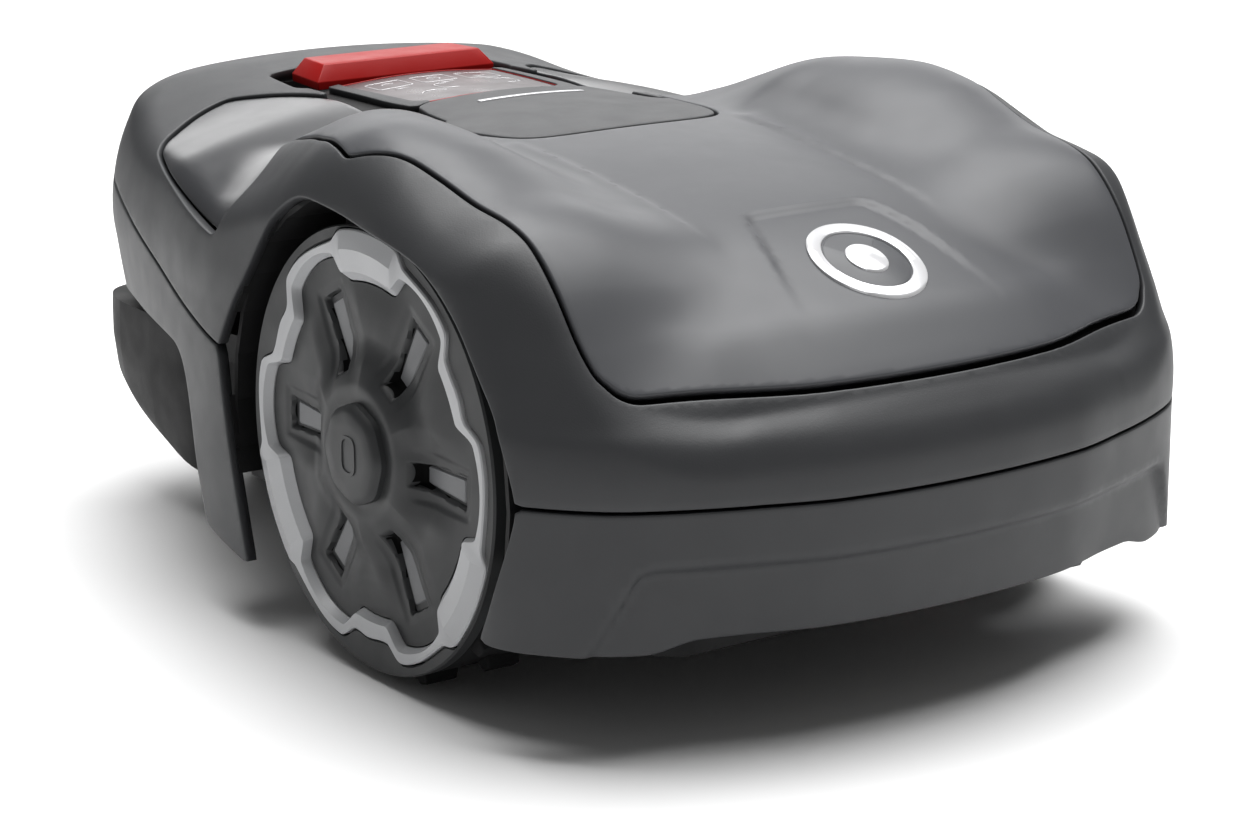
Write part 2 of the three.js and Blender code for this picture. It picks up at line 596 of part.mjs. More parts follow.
for (const [tag, side] of [["left", 1], ["right", -1]]) {
  const flip = (profile) => profile.map(([x, r]) => [x * side, r]);
  const span = (x0, x1) => [Math.min(x0 * side, x1 * side), Math.max(x0 * side, x1 * side)];
  const wheelTurned = (profile, segments) => turnedX(flip(profile), segments, 0, AXLE_Z);
  const motor = rodX(26, 64 * side, 111 * side, 0, AXLE_Z, 32);
  const gearbox = rodX(17, 24 * side, 65 * side, 0, AXLE_Z, 24);
  addPart("wheel_motor_" + tag, join([motor, gearbox]), MATERIALS.steel);
  addPart("wheel_axle_" + tag, rodX(6, 111.5 * side, 152 * side, 0, AXLE_Z), MATERIALS.steel);

  const tread = [
    [TYRE_INNER_X, 80.4], [162.6, 80.4], [162.6, 93.4], [160, WHEEL_RADIUS],
    [TYRE_INNER_X + 3, WHEEL_RADIUS],
    [TYRE_INNER_X, 92], [TYRE_INNER_X, 80.4],
  ];
  const lugs = [];
  for (let i = 0; i < LUG_COUNT * 2; i += 1) {
    const x = (i % 2 ? 153 : 137) * side;
    const lug = new THREE.BoxGeometry(17, 6, 8).translate(x, 0, LUG_RADIUS - 4);
    lugs.push(solidOf(lug.rotateX((i * Math.PI) / LUG_COUNT).translate(0, 0, AXLE_Z)));
  }
  addPart("tyre_" + tag, join([wheelTurned(tread, 36), ...lugs]), MATERIALS.rubber);

  const dish = [[134, 6.4], [158, 6.4], [156, 80], [132, 80], [150, 72], [150, 20], [134, 6.4]];
  addPart("wheel_rim_" + tag, wheelTurned(dish, 32), MATERIALS.spoke);

  const ringOpening = (curve, growth) => prismX(ringOutline(curve, growth), ...span(150, 190));
  const band = [
    [163, 60], [163, WHEEL_RADIUS], [168.5, WHEEL_RADIUS], [WHEEL_FACE_X, 93.5], [WHEEL_FACE_X, 60],
    [163, 60],
  ];
  addPart("wheel_band_" + tag, wheelTurned(band, 40).subtract(ringOpening(ringOuter, 0.5)), MATERIALS.spoke);
  const ring = prismX(ringOutline(ringOuter, 0), ...span(163, WHEEL_FACE_X + 1));
  addPart("trim_ring_" + tag, ring.subtract(ringOpening(ringInner, 0)), MATERIALS.ring);

  const cone = [[163.2, 0], [163.2, 93], [166, 93], [169, 58], [175, 30], [176, 0]];
  const cover = wheelTurned(cone, 30).intersect(ringOpening(ringInner, -0.5));
  const hubHole = rodX(22.5, 172 * side, 190 * side, 0, AXLE_Z, 32);
  addPart("spoke_cover_" + tag, cut(cover, [hubHole, ...slotTools(...span(165.5, 190))]), MATERIALS.spoke);
  const cap = [[172.4, 0], [172.4, 22], [178, 22], [180, 19], [180, 0]];
  addPart("hub_cap_" + tag, wheelTurned(cap, 32), MATERIALS.spoke);
}

// ---- casters ----
for (const [tag, side] of [["left", 1], ["right", -1]]) {
  const x = CASTER_X * side;
  const wheelY = CASTER_Y + CASTER_TRAIL;
  const arm = [
    [wheelY - 8, CASTER_RADIUS - 6], [wheelY + 8, CASTER_RADIUS - 6],
    [CASTER_Y + 13, 74], [CASTER_Y - 13, 74],
  ];
  const fork = join([
    postZ(6, 72, 101, x, CASTER_Y),
    block(31, 26, 6, x, CASTER_Y, 73),
    prismX(arm, x + 11.5, x + 15.5),
    prismX(arm, x - 15.5, x - 11.5),
  ]);
  const pinHole = rodX(3.2, x - 20, x + 20, wheelY, CASTER_RADIUS, 16);
  addPart("caster_fork_" + tag, fork.subtract(pinHole), MATERIALS.black);
  const tread = [
    [-10, 3.4], [-10, 26], [-5, CASTER_RADIUS], [5, CASTER_RADIUS], [10, 26], [10, 3.4], [-10, 3.4],
  ];
  const roller = turnedX(tread, 24, wheelY, CASTER_RADIUS).translate([x, 0, 0]);
  addPart("caster_wheel_" + tag, roller, MATERIALS.rubber);
  addPart("caster_pin_" + tag, rodX(2.9, x - 16.5, x + 16.5, wheelY, CASTER_RADIUS, 16), MATERIALS.steel);
}

// ---- cutting unit ----
const cupProfile = [[0, 46], [31, 46], [31, 96], [28.5, 96], [28.5, 49], [0, 49], [0, 46]];
const motorCup = turnedZ(cupProfile, 32, 0, DISC_Y);
addPart("cutting_carriage", motorCup.subtract(postZ(7, 40, 60, 0, DISC_Y)), MATERIALS.black);
const motorBody = join([postZ(28, 49.5, 112, 0, DISC_Y, 32), postZ(5, 42.6, 50, 0, DISC_Y)]);
addPart("cutting_motor", motorBody, MATERIALS.steel);
const pivots = Array.from({ length: BLADE_COUNT }, (_, i) => {
  const a = ((90 + (i * 360) / BLADE_COUNT) * Math.PI) / 180;
  return { a, x: BLADE_PIVOT_RADIUS * Math.cos(a), y: DISC_Y + BLADE_PIVOT_RADIUS * Math.sin(a) };
});
const discPlate = postZ(DISC_RADIUS, DISC_Z, DISC_Z + 2.5, 0, DISC_Y, 40);
const disc = join([discPlate, postZ(14, DISC_Z + 2, DISC_Z + 12, 0, DISC_Y)]);
addPart("blade_disc", cut(disc, pivots.map(({ x, y }) => postZ(3, 20, 40, x, y, 16))), MATERIALS.spoke);
pivots.forEach(({ a, x, y }, i) => {
  const plate = new THREE.BoxGeometry(BLADE_LENGTH, 17, 0.8).translate(BLADE_LENGTH / 2 - 6, 0, 29);
  const blade = solidOf(plate.rotateZ(a).translate(x, y, 0));
  addPart("blade_" + (i + 1), blade.subtract(postZ(3, 20, 40, x, y, 16)), MATERIALS.steel);
  const screw = join([postZ(5, 26.4, 28.3, x, y, 16), postZ(2.5, 28, 35, x, y, 16)]);
  addPart("blade_screw_" + (i + 1), screw, MATERIALS.steel);
});
const skid = join([postZ(38, 24.5, 27.5, 0, DISC_Y, 40), postZ(9, 27, 29.5, 0, DISC_Y)]);
addPart("skid_plate", skid, MATERIALS.black);
const dial = join([postZ(21, LID_TOP + 1, LID_TOP + 15, 0, -24, 36), postZ(5, 104, LID_TOP + 4, 0, -24)]);
addPart("height_dial", dial, MATERIALS.black);

root.position.y = -(NOSE_Y + TAIL_Y) / 2;

export default root;
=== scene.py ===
import math

import bmesh
import bpy
import numpy as np
from mathutils import Matrix, Vector


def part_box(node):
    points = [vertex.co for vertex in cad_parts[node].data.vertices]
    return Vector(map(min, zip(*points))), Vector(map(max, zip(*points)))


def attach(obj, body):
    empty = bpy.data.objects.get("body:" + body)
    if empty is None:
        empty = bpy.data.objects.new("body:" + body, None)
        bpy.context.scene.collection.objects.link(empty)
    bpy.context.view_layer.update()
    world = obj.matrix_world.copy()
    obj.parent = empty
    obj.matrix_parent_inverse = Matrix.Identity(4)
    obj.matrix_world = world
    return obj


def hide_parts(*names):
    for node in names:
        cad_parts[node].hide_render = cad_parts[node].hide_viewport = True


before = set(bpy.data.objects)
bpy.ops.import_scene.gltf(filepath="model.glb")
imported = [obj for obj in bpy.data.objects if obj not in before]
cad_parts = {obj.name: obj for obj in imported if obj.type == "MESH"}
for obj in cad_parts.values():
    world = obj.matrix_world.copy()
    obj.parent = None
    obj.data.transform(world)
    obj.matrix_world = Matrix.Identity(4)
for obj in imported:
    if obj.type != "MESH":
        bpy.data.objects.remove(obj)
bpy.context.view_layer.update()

# Shapes are worked out in millimetres from a point on the ground under the drive axle, nose towards -Y,
# and moved into the row frame, in metres, by place().
MM = 0.001
WHEEL_LOW, WHEEL_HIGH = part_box("tyre_right")
AXLE_Y = (WHEEL_LOW.y + WHEEL_HIGH.y) / 2
AXLE_Z = (WHEEL_LOW.z + WHEEL_HIGH.z) / 2 / MM
NOSE_Y = -187
TAIL_Y = 363
SHELL_INSET = 0.5  # keeps the fine surface inside the CAD one
STEP = 2.6  # cell of the grid that the shell is sampled on
GRID_HALF_WIDTH = 184
GRID_Y = (-192.0, 368.0)
GRID_Z = (22.0, 238.0)
NEAR_OUTLINE = 14  # how close to an outline the surface direction towards it is worked out


def place(points):
    return np.asarray(points, float) * MM + np.array([0, AXLE_Y, 0])


# ---- curves and outlines ----
def curve(pairs):
    """Smooth function through (position, value) pairs, straight beyond its ends."""
    t, v = np.array(pairs, float).T
    n = len(t)
    lo, hi = np.maximum(np.arange(n) - 1, 0), np.minimum(np.arange(n) + 1, n - 1)
    slope = (v[hi] - v[lo]) / (t[hi] - t[lo])

    def value(x):
        x = np.asarray(x, float)
        i = np.clip(np.searchsorted(t, x, side="right") - 1, 0, n - 2)
        step = t[i + 1] - t[i]
        u = np.clip((x - t[i]) / step, 0, 1)
        a = (2 * u - 3) * u * u
        bend = ((u - 2) * u + 1) * u * slope[i] + (u - 1) * u * u * slope[i + 1]
        beyond = np.minimum(x - t[0], 0) * slope[0] + np.maximum(x - t[-1], 0) * slope[-1]
        return (1 + a) * v[i] - a * v[i + 1] + step * bend + beyond

    return value


def smoothstep(a, b, x):
    t = np.clip((x - a) / (b - a), 0, 1)
    return t * t * (3 - 2 * t)


def soft_max(a, b, blend):
    h = np.maximum(blend - np.abs(a - b), 0) / blend
    return np.maximum(a, b) + h * h * blend / 4


def soft_outline(points, steps=7):
    """Closed outline whose corners are rounded: a third number is how far a corner's rounding reaches."""
    out = []
    n = len(points)
    for i, p in enumerate(points):
        here = np.array(p[:2], float)
        before, after = np.array(points[i - 1][:2], float), np.array(points[(i + 1) % n][:2], float)
        reach = []
        for other in (before, after):
            half = np.linalg.norm(other - here) / 2
            reach.append(min(half, p[2]) if len(p) > 2 else half)
        a = here + (before - here) / max(np.linalg.norm(before - here), 1e-9) * reach[0]
        b = here + (after - here) / max(np.linalg.norm(after - here), 1e-9) * reach[1]
        for s in np.linspace(0, 1, steps):
            out.append((1 - s) ** 2 * a + 2 * s * (1 - s) * here + s * s * b)
    return np.array(out)


def both_sides(half):
    return list(half) + [(-p[0], *p[1:]) for p in reversed(half) if p[0] > 0]


def flipped(points):
    return [(-p[0], *p[1:]) for p in reversed(points)]


def polygon_distance(outline, u, v):
    """Signed distance in the plane to a closed outline, negative inside."""
    shape = np.broadcast(u, v).shape
    u, v = np.broadcast_to(u, shape).ravel(), np.broadcast_to(v, shape).ravel()
    best = np.full(u.shape, 1e18)
    inside = np.zeros(u.shape, bool)
    for a, b in zip(outline, np.roll(outline, -1, axis=0)):
        d = b - a
        length = d @ d
        if length < 1e-12:
            continue
        t = np.clip(((u - a[0]) * d[0] + (v - a[1]) * d[1]) / length, 0, 1)
        best = np.minimum(best, (u - a[0] - t * d[0]) ** 2 + (v - a[1] - t * d[1]) ** 2)
        if a[1] != b[1]:
            crosses = ((a[1] > v) != (b[1] > v)) & (u < a[0] + (v - a[1]) / (b[1] - a[1]) * d[0])
            inside ^= crosses
    return (np.sqrt(best) * np.where(inside, -1, 1)).reshape(shape)


# ---- the shell's outer surface ----
nose_line = curve([(-60, -182), (0, NOSE_Y), (60, -182), (97, -170), (119, -161), (140, -150), (152, -141),
                   (166, -126), (182, -104)])
flank_line = curve([(-200, 178), (60, 178), (114, 177.5), (150, 172), (200, 160), (250, 147), (300, 131),
                    (345, 112), (380, 92)])
middle_height = curve([(-187, 131), (-182, 138), (-172, 143), (-169, 147.5), (-166, 151), (-150, 165),
                       (-140, 171), (-90, 193), (-20, 206), (56, 213), (150, 214), (240, 214), (300, 214),
                       (330, 211), (348, 205), (363, 194)])
ridge_height = curve([(-160, 122), (-150, 133), (-135, 149), (-123, 165), (-108, 186), (-91, 201.5),
                      (-75, 209), (-50, 214.5), (-28, 221.5), (-9, 227.6), (19, 232.2), (45, 231.8),
                      (70, 229.2), (98, 220), (136, 206), (180, 188)])
ridge_x = curve([(-135, 140), (-100, 138), (-60, 133), (19, 135), (45, 130), (70, 122), (136, 119)])
outer_fall = curve([(-120, 0.002), (-100, 0.004), (-73, 0.01), (60, 0.012), (136, 0.016)])
inner_fall = curve([(-130, 0.003), (-94, 0.0035), (-48, 0.005), (0, 0.007), (45, 0.0082), (75, 0.0092),
                    (136, 0.0095)])
flank_lean = curve([(105, 0), (185, 0), (200, 3), (212, 8), (222, 14), (240, 30)])
tail_lean = curve([(60, 12), (85, 10), (105, 6), (123, 3), (133, 1.5), (143, 0), (155, 0), (168, 2),
                   (179, 5), (190, 9.5), (200, 15), (208, 24), (220, 42)])
nose_lean = curve([(20, 8), (43, 6), (75, 2), (105, 0), (118, 0), (130, 2), (138, 6), (150, 11), (165, 18),
                   (184, 27), (205, 39)])
side_drop = curve([(60, 0.0006), (100, 0.0009), (145, 0.0011), (200, 0.0011), (225, 0.0012), (250, 0.0013),
                   (280, 0.0012), (310, 0.0007)])
seam_height = curve([(-260, 105), (-60, 105), (60, 113), (114, 124), (316, 165), (420, 178)])


def top_height(x, y):
    across = np.abs(x)
    nose = 1 - smoothstep(-130, -60, y)
    along = y - (nose_line(np.minimum(across, 170)) - NOSE_Y) * nose
    middle = middle_height(along) - side_drop(np.clip(y, 60, 310)) * across * across
    off = across - ridge_x(y)
    fall = np.where(off > 0, outer_fall(y), inner_fall(y))
    return soft_max(middle, ridge_height(y) - fall * off * off, 12 + 6 * smoothstep(-50, -110, y))


BUMPER_RECESS = soft_outline([(-137, 80, 6), (137, 80, 6), (155, 42, 3), (155, 10), (-155, 10),
                              (-155, 42, 3)])
EMBLEM_RECESS = soft_outline([(-31, -74, 6), (31, -74, 6), (41, -104), (47, -128), (53, -152, 2),
                              (-53, -152, 2), (-47, -128), (-41, -104)])
BUMPER_RECESS_DEPTH = 3.4
EMBLEM_RECESS_DEPTH = 1.9
CREASE_HEIGHT = 1.5  # step between the hood's middle and its fenders
CREASE_X = 61.5
APRON_SLOPE = 0.92  # rise of the hood's front facet for each mm back from the nose
TAIL_BOW = 0.0016  # how the tail wall curves forward towards its corners


def shell_field(x, y, z):
    """Roughly the distance outside the shell, in millimetres; negative inside."""
    across = np.abs(x)
    turn = smoothstep(60, 140, y)
    tuck = np.where(np.asarray(z) < 143, smoothstep(170, 290, y), 1)
    lean = flank_lean(z) * (1 - turn) + tail_lean(z) * tuck * turn
    side = across - flank_line(y) + lean
    corner = smoothstep(90, 150, across) * (np.asarray(z) < 105)
    nose = (nose_line(across) - y) * 0.82 + nose_lean(z) * (1 - corner)
    tail = y - TAIL_Y + TAIL_BOW * x * x + tail_lean(z) * 0.7
    wall = soft_max(soft_max(side, nose, 8), tail, 40)
    recess = BUMPER_RECESS_DEPTH * smoothstep(2.5, -2.5, polygon_distance(BUMPER_RECESS, x, z))
    recess = recess * (np.asarray(y) < -60)
    pocket = smoothstep(1.4, -1.4, polygon_distance(EMBLEM_RECESS, x, y)) * smoothstep(-152, -88, y)
    apron = (z - 145 - APRON_SLOPE * (y - nose_line(across) + NOSE_Y + 170)) * 0.74
    apron = apron - 40 * smoothstep(95, 125, across)
    crease = smoothstep(58, CREASE_X, across) * smoothstep(100, CREASE_X, across)
    crease = CREASE_HEIGHT * crease * smoothstep(-105, -45, y) * smoothstep(60, 45, y)
    top = soft_max(z - top_height(x, y) - crease, apron, 2.5) + EMBLEM_RECESS_DEPTH * pocket
    return soft_max(top, wall + recess, 9) + SHELL_INSET


def normals_at(points, field=shell_field, h=0.15):
    g = np.empty_like(points)
    for k in range(3):
        d = np.zeros(3)
        d[k] = h
        g[:, k] = field(*(points + d).T) - field(*(points - d).T)
    size = np.linalg.norm(g, axis=1, keepdims=True)
    return g / np.maximum(size, 1e-9), size[:, 0] / (2 * h)


def settle(points, rounds=3):
    """Moves points onto the shell surface."""
    for _ in range(rounds):
        n, slope = normals_at(points)
        points = points - n * (shell_field(*points.T) / np.maximum(slope, 0.2))[:, None]
    return points


def sample_shell():
    """Even quad mesh of the shell surface, from a grid of cells."""
    half = np.arange(STEP / 2, GRID_HALF_WIDTH, STEP)
    xs = np.concatenate([-half[::-1], half])
    ys = np.arange(*GRID_Y, STEP)
    zs = np.arange(*GRID_Z, STEP)
    value = shell_field(half[:, None, None], ys[None, :, None], zs[None, None, :])
    value = np.concatenate([value[::-1], value])
    inside = value < 0
    corners = [np.array([i, j, k]) for i in (0, 1) for j in (0, 1) for k in (0, 1)]
    shape = np.array(value.shape)
    count = sum(inside[tuple(slice(c, s - 1 + c) for c, s in zip(corner, shape))].astype(int)
                for corner in corners)
    active = (count > 0) & (count < 8)
    index = np.full(active.shape, -1)
    index[active] = np.arange(active.sum())
    cells = np.argwhere(active)
    total, hits = np.zeros((len(cells), 3)), np.zeros(len(cells))
    for a in corners:
        for b in corners:
            if (b - a).sum() != 1 or (b < a).any():
                continue
            va, vb = value[tuple((cells + a).T)], value[tuple((cells + b).T)]
            crossing = (va < 0) != (vb < 0)
            t = va[crossing] / (va[crossing] - vb[crossing])
            total[crossing] += (cells + a)[crossing] + t[:, None] * (b - a)
            hits[crossing] += 1
    points = total / hits[:, None] * STEP + np.array([xs[0], ys[0], zs[0]])
    faces = []
    for axis in range(3):
        one, two = (axis + 1) % 3, (axis + 2) % 3
        ends = [slice(None)] * 3
        starts = [slice(None)] * 3
        ends[axis], starts[axis] = slice(1, None), slice(None, -1)
        change = inside[tuple(starts)] != inside[tuple(ends)]
        for side in (one, two):
            edge = [slice(None)] * 3
            edge[side] = 0
            change[tuple(edge)] = False
            edge[side] = -1
            change[tuple(edge)] = False
        found = np.argwhere(change)
        first, second = np.zeros(3, int), np.zeros(3, int)
        first[one], second[two] = 1, 1
        quad = np.stack([index[tuple((found - d).T)] for d in (0 * first, first, first + second, second)], 1)
        outward = inside[tuple(found.T)]
        quad[~outward] = quad[~outward][:, ::-1]
        faces.append(quad)
    faces = np.concatenate(faces)
    faces = faces[(faces >= 0).all(1)]
    return settle(points), faces


def surface_distance(fields, points, normals):
    """Distance along the surface to the nearest outline, its direction, negative inside every field."""
    best = np.full(len(points), -1e9)
    way = np.zeros((len(points), 3))
    for field in fields:
        d = field(points)
        near = np.abs(d) < NEAR_OUTLINE
        g = np.zeros((near.sum(), 3))
        for k in range(3):
            step = np.zeros(3)
            step[k] = 0.1
            g[:, k] = (field(points[near] + step) - field(points[near] - step)) / 0.2
        n = normals[near]
        g -= (g * n).sum(1)[:, None] * n
        size = np.maximum(np.linalg.norm(g, axis=1), 0.25)
        d = d.copy()
        d[near] /= size
        direction = np.zeros((len(points), 3))
        direction[near] = g / size[:, None]
        more = d > best
        best[more] = d[more]
        way[more] = direction[more]
    return best, way


def trim(points, faces, normals, fields, margin):
    """The part of the mesh that lies at least margin inside every field, cut cleanly along the outlines."""
    d, way = surface_distance(fields, points, normals)
    d = d + margin
    points = points.copy()
    snap = np.abs(d) < 0.3 * STEP
    points[snap] -= way[snap] * d[snap][:, None]
    points[snap] = settle(points[snap], 2)
    d[snap] = 0
    inner, outer = (d[faces] < 0).sum(1), (d[faces] > 0).sum(1)
    kept = [tuple(f) for f in faces[(outer == 0) & (inner > 0)]]
    made, where = [], {}

    def crossing(a, b):
        key = (min(a, b), max(a, b))
        if key not in where:
            t = d[key[0]] / (d[key[0]] - d[key[1]])
            where[key] = len(points) + len(made)
            made.append(points[key[0]] * (1 - t) + points[key[1]] * t)
        return where[key]

    for f in faces[(outer > 0) & (inner > 0)]:
        ring = []
        for a, b in zip(f, np.roll(f, -1)):
            if d[a] <= 0:
                ring.append(int(a))
            if d[a] * d[b] < 0:
                ring.append(crossing(int(a), int(b)))
        if len(ring) > 2:
            kept.append(tuple(ring))
    made = settle(np.array(made), 2)
    for _ in range(2):
        n = normals_at(made)[0]
        off, way = surface_distance(fields, made, n)
        shift = np.clip(off + margin, -1, 1)
        made = settle(made - way * shift[:, None], 1)
    points = np.concatenate([points, made])
    used = sorted({i for f in kept for i in f})
    number = {old: new for new, old in enumerate(used)}
    return points[used], [tuple(number[i] for i in f) for f in kept]


def solid_sheet(points, faces, roll, depth, thick, inset=0.0):
    """Closed sheet under a trimmed surface: rolled edges, a short return wall and an inner skin."""
    normals = normals_at(points)[0]
    points = points - normals * (inset(points) if callable(inset) else inset)
    edges = {}
    for f in faces:
        for a, b in zip(f, f[1:] + f[:1]):
            edges[(a, b)] = True
    rim = [(a, b) for a, b in edges if (b, a) not in edges]
    out = np.zeros_like(points)
    for a, b in rim:
        away = np.cross(points[b] - points[a], (normals[a] + normals[b]) / 2)
        out[a] += away
        out[b] += away
    edge = sorted({i for pair in rim for i in pair})
    out[edge] /= np.maximum(np.linalg.norm(out[edge], axis=1, keepdims=True), 1e-9)
    near = {i: [] for i in edge}
    for a, b in rim:
        near[a].append(b)
        near[b].append(a)
    smoothed = {i: out[i] * 2 + sum((out[j] for j in near[i]), np.zeros(3)) for i in edge}
    for i in edge:
        out[i] = smoothed[i] / max(np.linalg.norm(smoothed[i]), 1e-9)
    p, n, t = points[edge], normals[edge], out[edge]
    rings = []
    for deg in (30, 60, 90):
        a = math.radians(deg)
        rings.append(p + t * roll * math.sin(a) - n * roll * (1 - math.cos(a)))
    rings.append(p + t * roll - n * depth)
    rings.append(p - n * depth)
    total = len(points)
    all_points = np.concatenate([points, points - normals * thick, *rings])
    row = {v: i for i, v in enumerate(edge)}
    all_faces = list(faces) + [tuple(total + i for i in reversed(f)) for f in faces]
    for a, b in rim:
        steps = [(a, b)]
        for k in range(len(rings)):
            base = 2 * total + k * len(edge)
            steps.append((base + row[a], base + row[b]))
        steps.append((total + a, total + b))
        for (a0, b0), (a1, b1) in zip(steps, steps[1:]):
            all_faces.append((b0, a0, a1, b1))
    return all_points, all_faces


# ---- making pieces ----
def add_mesh(name, points, faces, material, body, stands_for=(), sharp=None):
    mesh = bpy.data.meshes.new(name)
    mesh.from_pydata([tuple(p) for p in points], [], [tuple(int(i) for i in f) for f in faces])
    mesh.update()
    mesh.shade_smooth()
    if sharp:
        mesh.set_sharp_from_angle(angle=math.radians(sharp))
    piece = bpy.data.objects.new(name, mesh)
    bpy.context.scene.collection.objects.link(piece)
    piece.data.materials.append(material)
    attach(piece, body)
    if stands_for:
        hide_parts(*stands_for)
    return piece


def bevel(piece, width_mm, segments=2, angle=30):
    modifier = piece.modifiers.new("edges", "BEVEL")
    modifier.width = width_mm * MM
    modifier.segments = segments
    modifier.limit_method = "ANGLE"
    modifier.angle_limit = math.radians(angle)
    modifier.use_clamp_overlap = True


def loft(sections, close_ends=True):
    """Points and faces between closed rings of points; without closed ends, the last ring joins the first."""
    rows, n = len(sections), len(sections[0])
    faces = []
    for i in range(rows if not close_ends else rows - 1):
        for j in range(n):
            a, b = i * n + j, i * n + (j + 1) % n
            c, d = ((i + 1) % rows) * n + (j + 1) % n, ((i + 1) % rows) * n + j
            faces.append((a, b, c, d))
    if close_ends:
        faces.append(tuple(range(n))[::-1])
        faces.append(tuple((rows - 1) * n + j for j in range(n)))
    return np.concatenate([np.asarray(s, float) for s in sections]), faces


# ---- materials ----
GRAIN_HEIGHT = 0.0004  # metres


def linear(r, g, b):
    def one(c):
        c /= 255
        return c / 12.92 if c <= 0.04045 else ((c + 0.055) / 1.055) ** 2.4

    return (one(r), one(g), one(b), 1.0)


def surface(name, colour, rough, metallic=0.0, specular=0.5, coat=0.0, coat_rough=0.1,
            grain=1500.0, grain_depth=0.05, vary=0.12, spread=0.06, wear=0.1):
    """Moulded or machined finish: fine grain, slow colour drift, uneven gloss, paler worn edges."""
    material = bpy.data.materials.new(name)
    material.use_nodes = True
    nodes, links = material.node_tree.nodes, material.node_tree.links
    shader = nodes["Principled BSDF"]
    shader.inputs["Metallic"].default_value = metallic
    shader.inputs["Specular IOR Level"].default_value = specular
    shader.inputs["Coat Weight"].default_value = coat
    shader.inputs["Coat Roughness"].default_value = coat_rough
    where = nodes.new("ShaderNodeTexCoord").outputs["Object"]

    def noise(scale, detail):
        node = nodes.new("ShaderNodeTexNoise")
        node.inputs["Scale"].default_value = scale
        node.inputs["Detail"].default_value = detail
        links.new(where, node.inputs["Vector"])
        return node.outputs["Fac"]

    def ranged(value, low, high, start=0.3, end=0.7):
        node = nodes.new("ShaderNodeMapRange")
        node.inputs["From Min"].default_value = start
        node.inputs["From Max"].default_value = end
        node.inputs["To Min"].default_value = low
        node.inputs["To Max"].default_value = high
        links.new(value, node.inputs["Value"])
        return node.outputs["Result"]

    def mixed(factor, a, b):
        node = nodes.new("ShaderNodeMix")
        node.data_type = "RGBA"
        links.new(factor, node.inputs["Factor"])
        for socket, value in ((node.inputs[6], a), (node.inputs[7], b)):
            if isinstance(value, tuple):
                socket.default_value = value
            else:
                links.new(value, socket)
        return node.outputs[2]

    fine, slow = noise(grain, 3), noise(14, 2)
    dark = tuple(c * (1 - vary) for c in colour[:3]) + (1.0,)
    light = tuple(min(1, c * (1 + vary)) for c in colour[:3]) + (1.0,)
    tint = mixed(ranged(slow, 0, 1), dark, light)
    speck = mixed(ranged(fine, 0, vary), tint, tuple(min(1, c * 1.8) for c in colour[:3]) + (1.0,))
    edge = nodes.new("ShaderNodeNewGeometry").outputs["Pointiness"]
    pale = tuple(min(1, c * 2.2 + 0.02) for c in colour[:3]) + (1.0,)
    worn = mixed(ranged(edge, 0, wear, 0.52, 0.62), speck, pale)
    links.new(worn, shader.inputs["Base Color"])
    gloss = ranged(noise(60, 4), max(0.02, rough - spread), min(1, rough + spread))
    links.new(gloss, shader.inputs["Roughness"])
    bump = nodes.new("ShaderNodeBump")
    bump.inputs["Strength"].default_value = grain_depth
    bump.inputs["Distance"].default_value = GRAIN_HEIGHT
    links.new(fine, bump.inputs["Height"])
    links.new(bump.outputs["Normal"], shader.inputs["Normal"])
    return material


MATTE = surface("matte_body", linear(50, 51, 53), 0.5, specular=0.45, grain=1400, grain_depth=0.14, vary=0.05,
                spread=0.03, wear=0.0)
HOOD = surface("hood_gloss", linear(72, 73, 76), 0.46, metallic=0.0, specular=0.35, coat=0.1, coat_rough=0.3,
               grain=2200, grain_depth=0.03, vary=0.02, spread=0.02, wear=0.0)
GLOSS = surface("side_gloss", linear(46, 47, 50), 0.3, metallic=0.1, specular=0.5, coat=0.3, coat_rough=0.2,
                grain=2200, grain_depth=0.02, vary=0.02, spread=0.02, wear=0.0)
BLACK = surface("black_plastic", linear(19, 19, 20), 0.6, specular=0.25, grain=1300, grain_depth=0.15)
# Near-black material used only as painted shade: on sheets under the panel gaps and on the walls inside the
# wheel cover's slots.
PAINTED_SHADE = surface("shadow_black", linear(8, 8, 8), 0.85, specular=0.1, grain=1300, grain_depth=0.1)
COVER = surface("spoke_plastic", linear(46, 47, 48), 0.45, specular=0.35, grain=1500, grain_depth=0.12)
INSERT = surface("spoke_insert", linear(104, 105, 107), 0.42, specular=0.4, grain=1500, grain_depth=0.08)
RING = surface("ring_plastic", linear(172, 173, 175), 0.34, specular=0.5, grain=1500, grain_depth=0.06,
               vary=0.04)
TYRE = surface("tyre_rubber", linear(24, 24, 25), 0.8, specular=0.2, grain=1000, grain_depth=0.3)
RUBBER = surface("seal_rubber", linear(18, 18, 19), 0.75, specular=0.2, grain=1000, grain_depth=0.25)
RED = surface("red_plastic", linear(150, 12, 9), 0.42, specular=0.25, coat=0.0, coat_rough=0.2,
              grain=1600, grain_depth=0.05, vary=0.06, wear=0.15)
STEEL = surface("steel", linear(176, 178, 180), 0.3, metallic=0.9, grain=900, grain_depth=0.06)
BRASS = surface("contact_metal", linear(196, 160, 84), 0.3, metallic=0.9, grain=900, grain_depth=0.06)
BOARD = surface("circuit_board", linear(26, 88, 52), 0.5, grain=700, grain_depth=0.1)
CELL = surface("battery_case", linear(44, 74, 120), 0.5, grain=900, grain_depth=0.1)
CHROME = surface("badge_light", linear(222, 222, 224), 0.22, metallic=0.3, specular=0.6, grain=1500,
                 grain_depth=0.03, vary=0.03)
SCREEN = surface("screen_glass", linear(64, 56, 58), 0.3, specular=0.3, coat=0.0, coat_rough=0.03, grain=900,
                 grain_depth=0.01, vary=0.05, wear=0.0)

